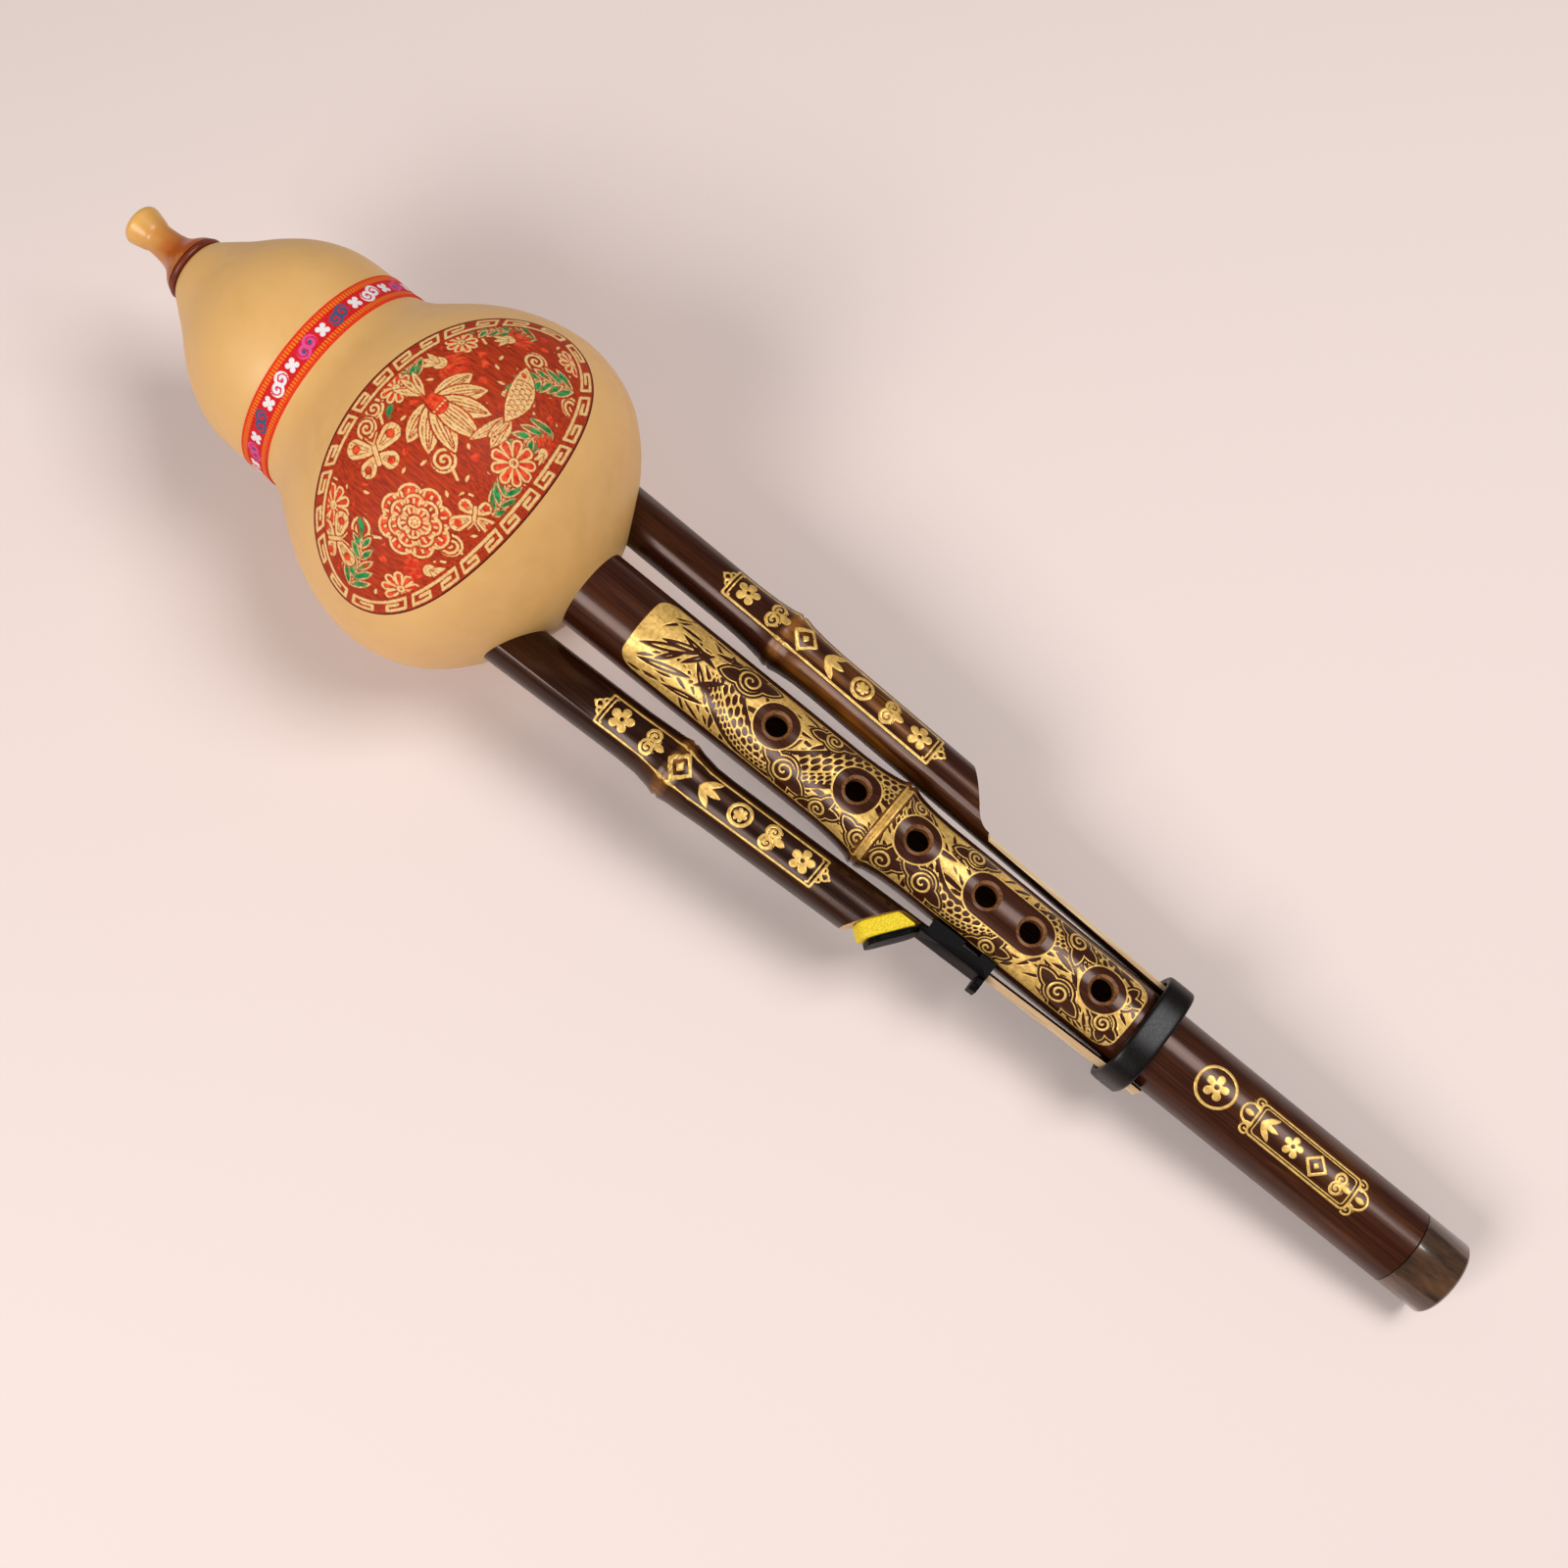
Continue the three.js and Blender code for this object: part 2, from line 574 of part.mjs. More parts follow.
// The belly and the tail rim share one floor. The tilt is the one at which the floor, hinged on the
// tail's rim, just takes the flat's depth off the belly.
const tailRimR = MAIN_END_R;
const tailRimX = tailEndX - TAIL_RING_CHAMFER;
function restTilt() {
  const tilts = gourdOutline().map(([x, r]) => {
    const run = tailRimX - x;
    const rise = r - tailRimR;
    return Math.acos(REST_FLAT_DEPTH / Math.hypot(run, rise)) - Math.atan2(run, rise);
  });
  return Math.max(...tilts);
}
const tilt = restTilt();

// Everything under the floor, in the instrument's own frame, near the belly.
function floorCut() {
  const reach = BELLY_R;
  const down = new THREE.Vector3(Math.sin(tilt), 0, -Math.cos(tilt));
  const along = new THREE.Vector3(Math.cos(tilt), 0, Math.sin(tilt));
  const corner = new THREE.Vector3(tailRimX, 0, -tailRimR);
  corner.addScaledVector(along, gourdX + BELLY_AT - tailRimX);
  const sheet = polygon([[-reach, -reach], [reach, -reach], [reach, reach], [-reach, reach]]);
  return slab(sheet, reach, frameAt(corner, along, new THREE.Vector3(0, 1, 0), down));
}

function sideBore(pipe, r, x0, x1) {
  return roundBar([x0, x1].map((x) => sideStation(pipe, x, r)), SIDE_SEGMENTS);
}

function gourdSolid() {
  const outline = gourdOutline();
  const outer = turned([[gourdX, 0], ...outline, [gourdEndX, 0]], GOURD_SEGMENTS);
  const neck = turnedRing(
    gourdX - OVERRUN, gourdX + SPIGOT_LENGTH + OVERRUN, 0, SPIGOT_R + SEAT_GAP, SMALL_SEGMENTS);
  const mainHole = turnedRing(
    gourdX + BELLY_AT, gourdEndX + OVERRUN, 0, mainRadiusAt(gourdEndX) + SEAT_GAP, MAIN_SEGMENTS);
  const sideHoles = [leftPipe, rightPipe].map((pipe) => sideBore(
    pipe, pipe.radiusAt(gourdX + BELLY_AT) + SEAT_GAP, gourdX + BELLY_AT, gourdEndX + OVERRUN));
  return outer.subtract(gourdHollow(0)).subtract(neck).subtract(mainHole)
    .subtract(sideHoles[0]).subtract(sideHoles[1]).subtract(floorCut());
}

const ribbonShares = [-1, -0.5, 0, 0.5, 1];

function ribbonSolid() {
  const middleX = gourdX + WAIST_AT - RIBBON_PAST_WAIST;
  const places = ribbonShares.map((share) => middleX + (share * RIBBON_WIDTH) / 2);
  const onGourd = places.map((x) => [x, gourdRadiusAt(x)]);
  const inner = movedInwards(onGourd, -SEAT_GAP);
  const outer = movedInwards(onGourd, -SEAT_GAP - RIBBON_THICKNESS);
  return turned([...inner, ...outer.reverse(), inner[0]], GOURD_SEGMENTS);
}

// A finger hole's cutter, from the bore out through the skin, with a bevelled mouth.
function fingerHole(x, facing) {
  const skin = mainRadiusAt(x);
  const cutter = turned([
    [0, 0], [0, FINGER_HOLE_R], [skin - FINGER_HOLE_BEVEL, FINGER_HOLE_R],
    [skin + OVERRUN, FINGER_HOLE_R + FINGER_HOLE_BEVEL + OVERRUN], [skin + OVERRUN, 0],
  ], HOLE_SEGMENTS);
  const up = new THREE.Vector3(0, 0, facing);
  const across = new THREE.Vector3(0, 1, 0);
  const turn = new THREE.Matrix4().makeBasis(up, across, new THREE.Vector3(-facing, 0, 0));
  return solidOf(geometryOf(cutter).applyMatrix4(turn.setPosition(x, 0, 0)));
}

function mainPipeSolid() {
  const bore = turnedRing(mainX - OVERRUN, mainEndX + OVERRUN, 0, MAIN_BORE_R, MAIN_SEGMENTS);
  let pipe = roundBar(mainStations(), MAIN_SEGMENTS).subtract(bore);
  for (const share of FINGER_HOLE_SHARES) {
    pipe = pipe.subtract(fingerHole(gourdEndX + share * mainFree, 1));
  }
  pipe = pipe.subtract(fingerHole(gourdEndX + THUMB_HOLE_AT, -1));
  return pipe.subtract(reedCut(MAIN_REED, mainBed, MAIN_BORE_R));
}

function tailRingSolid() {
  const spigotR = MAIN_BORE_R - SEAT_GAP;
  const c = TAIL_RING_CHAMFER;
  return turned([
    [tailX - TAIL_SPIGOT_LENGTH, TAIL_BORE_R], [tailX - TAIL_SPIGOT_LENGTH, spigotR], [tailX, spigotR],
    [tailX, MAIN_END_R], [tailEndX - c, tailRimR], [tailEndX, tailRimR - c], [tailEndX, TAIL_BORE_R],
    [tailX - TAIL_SPIGOT_LENGTH, TAIL_BORE_R],
  ], MAIN_SEGMENTS);
}

// A wax ring round a pipe where it passes through the gourd's bottom, shaped by the hollow that it sits in.
function sealSolid(pipeBar, waxBar) {
  return waxBar.subtract(pipeBar).intersect(gourdHollow(SEAT_GAP));
}

function sideSealSolid(pipe) {
  const r = pipe.radiusAt(gourdX + BELLY_AT) + SEAT_GAP;
  return sealSolid(
    sideBore(pipe, r, sideX, gourdEndX + OVERRUN),
    sideBore(pipe, r + SEAL_WALL, sideSealX, gourdEndX));
}

function mainSealSolid() {
  const r = mainRadiusAt(gourdEndX) + SEAT_GAP;
  const waxR = r + SEAL_WALL;
  return sealSolid(
    turnedRing(mainX, gourdEndX + OVERRUN, 0, r, MAIN_SEGMENTS),
    turnedRing(hollowDrawnIn(waxR) - SEAL_LENGTH, gourdEndX, 0, waxR, MAIN_SEGMENTS));
}

// The clamp ring: a rounded oval band that takes the melody pipe and both tongues.
function ringSolid() {
  const midTongue = (LEFT_TONGUE + RIGHT_TONGUE) / 2;
  const halfWidth = mainRadiusAt(ringX) + SEAT_GAP + midTongue + RING_SIDE_EASE;
  const halfHeight = mainRadiusAt(ringX) + SEAT_GAP;
  const band = new THREE.Shape(
    superellipse(halfWidth + RING_WALL, halfHeight + RING_WALL, RING_ROUNDNESS, RING_SEGMENTS));
  band.holes.push(new THREE.Path(superellipse(halfWidth, halfHeight, RING_ROUNDNESS, RING_SEGMENTS)));
  const offset = new THREE.Vector3(ringX, (RIGHT_TONGUE - LEFT_TONGUE) / 2, 0);
  const across = new THREE.Vector3(0, 1, 0);
  const frame = frameAt(offset, across, new THREE.Vector3(0, 0, 1), new THREE.Vector3(1, 0, 0));
  return slab(band, RING_LENGTH, frame, RING_EDGE);
}

// Slider: drawn in a frame that follows the left tongue, its shape's x up, y outwards, thickness along.
const tongueStart = new THREE.Vector3(leftPipe.leanX, -leftPipe.skinAt(leftPipe.leanX), 0);
const tongueEnd = new THREE.Vector3(ringX, -leftPipe.skinAt(ringX), 0);
const tongueWay = tongueEnd.clone().sub(tongueStart).normalize();
const tongueOut = new THREE.Vector3(tongueWay.y, -tongueWay.x, 0);
const UP = new THREE.Vector3(0, 0, 1);
function tongueFrame(x) {
  const along = (x - tongueStart.x) / tongueWay.x;
  return frameAt(tongueStart.clone().addScaledVector(tongueWay, along), UP, tongueOut, tongueWay);
}
const tongueHalfHeight = Math.sqrt(2 * LEFT_CUT_R * LEFT_TONGUE - LEFT_TONGUE ** 2);

function sliderSolid() {
  const innerHalf = tongueHalfHeight + SEAT_GAP;
  const half = innerHalf + SLIDER_WALL;
  const plate0 = LEFT_TONGUE + SEAT_GAP;
  const plate1 = plate0 + SLIDER_PLATE;
  const lipHalf = innerHalf - SLIDER_LIP_WIDTH;
  const skinAtLip = LEFT_CUT_R - Math.sqrt(LEFT_CUT_R ** 2 - lipHalf ** 2);
  const lipTop = skinAtLip - SLIDER_LIP_GAP;
  const wallFoot = plate0 - 2 * SEAT_GAP;
  const channel = polygon([
    [half, plate1], [half, -SLIDER_LIP_REACH], [lipHalf, -SLIDER_LIP_INNER], [lipHalf, lipTop],
    [innerHalf, wallFoot], [innerHalf, plate0], [-innerHalf, plate0], [-innerHalf, wallFoot],
    [-lipHalf, lipTop], [-lipHalf, -SLIDER_LIP_INNER], [-half, -SLIDER_LIP_REACH], [-half, plate1],
  ]);
  const body = slab(channel, SLIDER_LENGTH, tongueFrame(sliderX));
  const notchX = sliderX + SLIDER_LENGTH / 2;
  const notch = slab(polygon([
    [-half - OVERRUN, -SLIDER_LIP_REACH - OVERRUN], [half + OVERRUN, -SLIDER_LIP_REACH - OVERRUN],
    [half + OVERRUN, -SLIDER_LIP_INNER / 2], [-half - OVERRUN, -SLIDER_LIP_INNER / 2],
  ]), SLIDER_NOTCH, tongueFrame(notchX));
  const lug = slab(
    roundedRectangle(-LUG_HALF_HEIGHT, plate0, LUG_HALF_HEIGHT, plate1 + LUG_REACH, LUG_THICKNESS),
    LUG_THICKNESS, tongueFrame(sliderEndX - LUG_THICKNESS));
  const neckX = leftPipe.leanX + PAD_THICKNESS;
  const neck = slab(polygon([[-half, plate0], [half, plate0], [half, plate1], [-half, plate1]]),
    sliderX + SLIDER_LENGTH / 2 - neckX, tongueFrame(neckX));
  return body.subtract(notch).add(lug).add(neck).add(headSolid());
}

// The slanted mouth of the left pipe: a frame with x up, y outwards along the cut, thickness away from it.
const mouthOut = new THREE.Vector3(-Math.sin(leftPipe.slant), -Math.cos(leftPipe.slant), 0);
const mouthAway = new THREE.Vector3(Math.cos(leftPipe.slant), -Math.sin(leftPipe.slant), 0);
function mouthFrame(distance) {
  const inner = new THREE.Vector3(leftPipe.leanX, -leftPipe.skinAt(leftPipe.leanX), 0);
  return frameAt(inner.addScaledVector(mouthAway, distance), UP, mouthOut, mouthAway);
}
const padSeat = SEAT_GAP;
const headSeat = padSeat + PAD_THICKNESS + SEAT_GAP;

function headSolid() {
  const inner = -SLIDER_PLATE / 2;
  const outer = PAD_LENGTH - HEAD_THICKNESS;
  const half = PAD_HEIGHT / 2 + SEAT_GAP;
  const outline = roundedRectangle(-half, inner, half, outer, PAD_CORNER);
  return slab(outline, HEAD_THICKNESS, mouthFrame(headSeat));
}

// The pad's inner end is trimmed along the tongue, clear of the round corner where the tongue begins.
function padSolid() {
  const half = PAD_HEIGHT / 2;
  const outline = roundedRectangle(-half, -LEFT_TONGUE, half, PAD_LENGTH, PAD_CORNER);
  const reach = PAD_LENGTH + OVERRUN;
  const clear = LEFT_TONGUE + LEFT_CUT_FILLET * Math.cos(leftPipe.slant) + SEAT_GAP;
  const trim = polygon([[-reach, -reach], [reach, -reach], [reach, clear], [-reach, clear]]);
  return slab(outline, PAD_THICKNESS, mouthFrame(padSeat), PAD_EDGE)
    .subtract(slab(trim, 2 * reach, tongueFrame(leftPipe.leanX - reach)));
}

function mainPlugSolid() {
  const endX = mainX + PLUG_LENGTH;
  const r = MAIN_BORE_R - SEAT_GAP;
  return turned([[mainX, 0], [mainX, r], [endX, r], [endX, 0]], SMALL_SEGMENTS);
}

function sidePlugSolid(pipe) {
  return sideBore(pipe, pipe.boreR - SEAT_GAP, sideX, sideX + PLUG_LENGTH);
}

// Finishes, as sRGB colours with roughness and metalness
const GOURD = { color: 0xd9b273, roughness: 0.5, metalness: 0 };
const AMBER = { color: 0xd9913a, roughness: 0.15, metalness: 0 };
const RED_BROWN = { color: 0x5a2414, roughness: 0.3, metalness: 0 };
const RIBBON = { color: 0xd8321c, roughness: 0.8, metalness: 0 };
const BAMBOO = { color: 0x3a2218, roughness: 0.25, metalness: 0 };
const HORN = { color: 0x5e4a34, roughness: 0.15, metalness: 0 };
const BLACK = { color: 0x17171a, roughness: 0.5, metalness: 0 };
const YELLOW = { color: 0xf2e11c, roughness: 0.6, metalness: 0 };
const BRASS = { color: 0xc9a24a, roughness: 0.3, metalness: 1 };
const WAX = { color: 0x6e4a22, roughness: 0.6, metalness: 0 };
const CORK = { color: 0xb98a5a, roughness: 0.9, metalness: 0 };

const instrument = new THREE.Group();
instrument.rotation.y = tilt;

function place(name, solid, finish) {
  const mesh = new THREE.Mesh(geometryOf(solid), new THREE.MeshStandardMaterial(finish));
  mesh.name = name;
  instrument.add(mesh);
}

place('mouthpiece', mouthpieceSolid(), AMBER);
place('mouthpiece_collar', collarSolid(), RED_BROWN);
place('gourd_shell', gourdSolid(), GOURD);
place('waist_ribbon', ribbonSolid(), RIBBON);
place('main_pipe', mainPipeSolid(), BAMBOO);
place('main_pipe_plug', mainPlugSolid(), CORK);
place('main_reed', reedSolid(MAIN_REED, mainBed), BRASS);
place('main_reed_wax', waxSolid(MAIN_REED, mainBed), WAX);
place('main_pipe_seal', mainSealSolid(), WAX);
place('tail_ring', tailRingSolid(), HORN);
place('left_drone_pipe',
  sidePipeSolid(leftPipe).subtract(reedCut(LEFT_REED, leftBed, LEFT_BORE_R)), BAMBOO);
place('left_drone_plug', sidePlugSolid(leftPipe), CORK);
place('left_drone_reed', reedSolid(LEFT_REED, leftBed), BRASS);
place('left_drone_reed_wax', waxSolid(LEFT_REED, leftBed), WAX);
place('left_drone_seal', sideSealSolid(leftPipe), WAX);
place('right_side_pipe', sidePipeSolid(rightPipe).subtract(rightTongueTrim()), BAMBOO);
place('right_pipe_plug', sidePlugSolid(rightPipe), CORK);
place('right_pipe_seal', sideSealSolid(rightPipe), WAX);
place('clamp_ring', ringSolid(), BLACK);
place('drone_slider', sliderSolid(), BLACK);
place('drone_pad', padSolid(), YELLOW);

// The origin is the middle of the bottom of the whole part's box.
const hulusi = new THREE.Group();
hulusi.add(instrument);
hulusi.updateMatrixWorld(true);
const box = new THREE.Box3().setFromObject(hulusi, true);
const middle = box.getCenter(new THREE.Vector3());
hulusi.position.set(-middle.x, -middle.y, -box.min.z);

export default hulusi;
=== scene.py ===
import math
from functools import partial, reduce

import bmesh
import bpy
import numpy as np
from bpy.props import FloatProperty, FloatVectorProperty, IntProperty, PointerProperty
from mathutils import Matrix


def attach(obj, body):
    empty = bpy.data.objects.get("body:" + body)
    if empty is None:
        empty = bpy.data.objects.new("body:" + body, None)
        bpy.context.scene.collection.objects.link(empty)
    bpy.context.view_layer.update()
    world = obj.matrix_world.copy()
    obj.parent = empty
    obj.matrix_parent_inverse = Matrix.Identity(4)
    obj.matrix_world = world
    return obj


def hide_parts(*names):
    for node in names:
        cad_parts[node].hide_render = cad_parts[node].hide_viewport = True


bl_info = {
    "name": "Gourd flute",
    "version": (1, 0, 0),
    "blender": (4, 5, 0),
    "location": "View3D > Sidebar > Gourd flute",
    "description": "Dresses the packed solids of a gourd flute with finished surfaces and materials",
    "category": "Add Mesh",
}

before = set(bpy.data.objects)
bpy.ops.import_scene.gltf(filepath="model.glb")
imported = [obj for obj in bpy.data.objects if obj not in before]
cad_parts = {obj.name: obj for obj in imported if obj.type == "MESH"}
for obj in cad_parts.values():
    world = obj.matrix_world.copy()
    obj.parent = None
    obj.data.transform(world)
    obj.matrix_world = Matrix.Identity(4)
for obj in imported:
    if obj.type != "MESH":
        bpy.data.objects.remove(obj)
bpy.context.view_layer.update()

# Lengths below are millimetres in the instrument's own frame: x runs along the melody pipe from the tip of
# the mouthpiece, z points out of the finger holes. The part's source has the same sizes, apart from the
# belly's radius.
MM = 0.001
TILT = math.radians(6.951105)
SHIFT = np.array([-213.758567, 0.0, 62.377691])
BODY = "hulusi_body"
SWITCH = "drone_switch"
FULL_TURN = 2 * math.pi
# Points of a CAD mesh that lie closer than this, in metres, are one point
MERGE = 0.5e-6
# Play between a spigot and its hole
FIT = 0.3
# The distance to a drawing where nothing is drawn yet
FAR = 1e3
# Keeps a division away from zero
TINY = 1e-9

# Camera. The photograph's side, its focal length and the way from its middle to the pipe are in pixels
PHOTO_SIDE = 1600.0
PHOTO_FOCAL = 1960.0
PHOTO_OFF_PIPE = 30.6
SENSOR_WIDTH = 36.0
CAMERA_AT = np.array([259.8, 0.0, 488.6])
CAMERA_TO_X = 225.6
CAMERA_NOD = math.atan(PHOTO_OFF_PIPE / PHOTO_FOCAL)
CAMERA_ROLL = math.radians(15.0)
PHOTO_TURN = math.radians(39.04)

# Mouthpiece, collar and gourd
MOUTHPIECE_LENGTH = 19.3
MOUTH_TIP_R = 5.6
MOUTH_WAIST_R = 4.2
MOUTH_BASE_R = 8.9
MOUTH_BORE_R = 2.3
SPIGOT_R = 5.0
SPIGOT_LENGTH = 12.0
COLLAR_X = 19.6
COLLAR_THICKNESS = 1.6
COLLAR_R = 9.4
GOURD_X = 21.5
GOURD_LENGTH = 136.0
GOURD_WALL = 3.2
NECK_R = 9.2
SMALL_BULB_R = 30.5
SMALL_BULB_AT = 38.7
WAIST_R = 30.1
WAIST_AT = 48.5
# The solid's 49.1 less 0.35: a smooth belly bulges past straight facets, and the medallion stands proud of it
BELLY_R = 48.75
BELLY_AT = 94.5
GOURD_END_X = GOURD_X + GOURD_LENGTH
GOURD_END_R = 0.5
BEAD_SHARES = [(0, 0), (0.33, 0.67), (1, 1), (2, 0.83), (4, 0.33)]
FLARE_SHARES = [(0.36, 0), (0.5, 0.02), (0.62, 0.08), (0.72, 0.19), (0.785, 0.34), (0.85, 0.56),
                (0.92, 0.82), (1, 1)]
SMALL_BULB_SHARES = [(0, 0), (0.12, 0.165), (0.25, 0.345), (0.41, 0.595), (0.59, 0.815), (0.79, 0.957),
                     (1, 1)]
UPPER_BELLY_SHARES = [(0.1, 0.03), (0.2, 0.135), (0.31, 0.33), (0.44, 0.56), (0.61, 0.785), (0.8, 0.94),
                      (1, 1)]
LOWER_BELLY_SHARES = [(0.217, 0.971), (0.41, 0.9), (0.56, 0.797), (0.67, 0.69), (0.78, 0.55),
                      (0.875, 0.4), (0.95, 0.235), (0.985, 0.12)]

# Ribbon. The cords of its weave are 0.2 mm apart on the real one, and are drawn coarser so that they show
RIBBON_BEFORE_WAIST = 0.8
RIBBON_X = GOURD_X + WAIST_AT - RIBBON_BEFORE_WAIST
RIBBON_WIDTH = 8.6
RIBBON_THICKNESS = 0.45
RIBBON_CORD = 0.45

# Melody pipe
MAIN_X = 107.5
MAIN_END_X = 416.7
MAIN_TOP_R = 11.5
MAIN_END_R = 10.5
MAIN_BORE_R = 7.9
MAIN_NODE_X = 251.5
MAIN_NODE_SWELL = 1.9
NODE_REACH = 14.0
NODE_SHARES = [(-1, 0), (-0.55, 0.2), (-0.2, 0.6), (-0.06, 1), (0, 0.66), (0.06, 0.94), (0.25, 0.5),
               (0.6, 0.14), (1, 0)]
HOLE_R = 3.0
HOLE_BEVEL = 0.9
FINGER_HOLES_X = [215.69, 241.40, 261.10, 282.90, 297.00, 319.50]
THUMB_HOLE_X = 193.0

# Tail ring
TAIL_X = 417.0
TAIL_LENGTH = 13.0
TAIL_CHAMFER = 0.7
TAIL_BORE_R = 6.4

# Side pipes
SIDE_X = 107.713
SIDE_DROP_AT_GOURD = 3.2
SIDE_NODE_X = 202.0
SIDE_NODE_SWELL = 1.4
SIDE_STEP_REACH = 8.0
LEFT = {
    "side": -1, "top_r": 7.7, "cut_r": 7.0, "cut_x": 264.9, "spreads": (23.05, 22.0, 22.75, 20.45),
    "lean_x": 269.986}
RIGHT = {
    "side": 1, "top_r": 7.1, "cut_r": 7.05, "cut_x": 265.9, "spreads": (23.35, 22.55, 22.2, 20.2),
    "lean_x": 271.964}
HELD_SKIN = 11.0755

# Clamp ring
RING_X = 331.5
RING_LENGTH = 7.5
RING_HALF_WIDTH = 13.45
RING_HALF_HEIGHT = 11.05
RING_WALL = 2.1
RING_OFFSET = 0.25
RING_ROUNDNESS = 2.8


def linear(code):
    """An sRGB hex value as linear red, green, blue and alpha."""
    channels = [int(code[i:i + 2], 16) / 255 for i in (1, 3, 5)]
    return [c / 12.92 if c <= 0.04045 else ((c + 0.055) / 1.055) ** 2.4 for c in channels] + [1.0]


class HulusiGourd(bpy.types.PropertyGroup):
    skin: FloatVectorProperty(
        name="Gourd skin", description="Colour of the varnished skin", subtype="COLOR", size=3,
        default=linear("#ddac68")[:3])
    burnt: FloatVectorProperty(
        name="Burnt ground", description="Colour of the medallion's stained ground", subtype="COLOR", size=3,
        default=linear("#892914")[:3])
    medallion_step: FloatProperty(
        name="Medallion step", description="Distance between the points that draw the medallion",
        unit="LENGTH", subtype="DISTANCE", default=0.000225)


class HulusiPipes(bpy.types.PropertyGroup):
    bamboo: FloatVectorProperty(
        name="Smoked bamboo", description="Colour of the lacquered bamboo", subtype="COLOR", size=3,
        default=linear("#280f06")[:3])
    gold: FloatVectorProperty(
        name="Gilding", description="Colour of the gold paint", subtype="COLOR", size=3,
        default=linear("#ddb361")[:3])
    gilding_step: FloatProperty(
        name="Gilding step", description="Distance between the points that draw the gilding",
        unit="LENGTH", subtype="DISTANCE", default=0.00022)
    segments: IntProperty(
        name="Pipe segments", description="Points round the melody pipe, a multiple of 16", default=96)


class HulusiSwitch(bpy.types.PropertyGroup):
    foam: FloatVectorProperty(
        name="Pad foam", description="Colour of the switch's foam pad", subtype="COLOR", size=3,
        default=linear("#f3df1d")[:3])


class HulusiStage(bpy.types.PropertyGroup):
    floor: FloatVectorProperty(
        name="Floor", description="Colour of the floor", subtype="COLOR", size=3,
        default=linear("#e7d6d0")[:3])
    key_power: FloatProperty(
        name="Soft boxes", description="Power of each soft box", unit="POWER", default=10.4)
    world: FloatProperty(
        name="World", description="Strength of the even light all round", default=0.2)


# Shapes


def tilted(x, z, angle=TILT):
    """x cos t + z sin t and z cos t - x sin t, which is how far the instrument is tilted as it lies on its
    belly and its tail. With -TILT it is put straight again."""
    c, s = math.cos(angle), math.sin(angle)
    return x * c + z * s, z * c - x * s


def placed(points):
    """Points of the instrument's frame, in mm, in the row frame, in metres: tilted, shifted, and flattened
    where they would lie under the floor."""
    x, y, z = np.moveaxis(np.asarray(points, float), -1, 0)
    along, up = tilted(x, z)
    row = (np.stack([along, y, up], -1) + SHIFT) * MM
    row[..., 2] = np.maximum(row[..., 2], 0)
    return row


def grid_faces(rows, columns, closed_columns=False, closed_rows=False, first=0):
    """Quads of a rows by columns grid of points numbered row by row, closed on itself where asked."""
    i = np.arange(rows if closed_rows else rows - 1)
    k = np.arange(columns if closed_columns else columns - 1)
    i, k = [a.ravel() for a in np.meshgrid(i, k, indexing="ij")]
    i1 = (i + 1) % rows
    k1 = (k + 1) % columns
    return first + np.stack([i * columns + k, i1 * columns + k, i1 * columns + k1, i * columns + k1], -1)


def piece(name, points, faces, materials, body, replaced=(), sharp=None, closed=True,
          attributes=None, second=()):
    """A mesh piece that rides on a body. Points are in the instrument's frame, faces are groups of equal
    faces, and the groups listed in second take the second material."""
    used = np.unique(np.concatenate([np.asarray(f).ravel() for f in faces]))
    renumbered = np.zeros(len(points), int)
    renumbered[used] = np.arange(len(used))
    mesh = bpy.data.meshes.new(name)
    corners = [renumbered[np.asarray(f)].tolist() for f in faces]
    mesh.from_pydata(placed(points)[used].tolist(), [], [c for group in corners for c in group])
    of_second = np.repeat([k in second for k in range(len(faces))], [len(f) for f in faces])
    mesh.polygons.foreach_set("material_index", of_second.astype(np.int32))
    for label, values in (attributes or {}).items():
        layer = mesh.attributes.new(label, "FLOAT", "POINT")
        layer.data.foreach_set("value", np.asarray(values, np.float32)[used])
    if closed:
        shell = bmesh.new()
        shell.from_mesh(mesh)
        bmesh.ops.recalc_face_normals(shell, faces=shell.faces)
        shell.to_mesh(mesh)
        shell.free()
    return finished(name, mesh, materials, body, replaced, sharp)


def finished(name, mesh, materials, body, replaced=(), sharp=None):
    """Links a mesh as a smooth shaded piece, with edges over the sharp angle kept sharp."""
    mesh.polygons.foreach_set("use_smooth", [True] * len(mesh.polygons))
    if sharp is not None:
        mesh.set_sharp_from_angle(angle=math.radians(sharp))
    for material in materials:
        mesh.materials.append(material)
    made = bpy.data.objects.new(name, mesh)
    bpy.context.scene.collection.objects.link(made)
    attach(made, body)
    if replaced:
        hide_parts(*replaced)
    return made


def sheet(name, points, distance, margin, material, attributes=None):
    """A drawing laid on the body as an open sheet, kept where its distance is less than the margin."""
    faces = grid_faces(*distance.shape)
    keep = (distance.ravel()[faces] < margin).any(axis=1)
    piece(name, points.reshape(-1, 3), [faces[keep][:, ::-1]], [material], BODY, closed=False,
          attributes=attributes)


def merged_copy(node):
    """A copy of a CAD node's mesh with its loose triangles joined."""
    shell = bmesh.new()
    shell.from_mesh(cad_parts[node].data)
    bmesh.ops.remove_doubles(shell, verts=shell.verts, dist=MERGE)
    mesh = bpy.data.meshes.new(node + "_finished")
    shell.to_mesh(mesh)
    shell.free()
    return mesh


def knots_from(shares, x0, along, r0, rise):
    """Knots (x0 + a along, r0 + b rise) for each pair of shares (a, b)."""
    return [(x0 + a * along, r0 + b * rise) for a, b in shares]


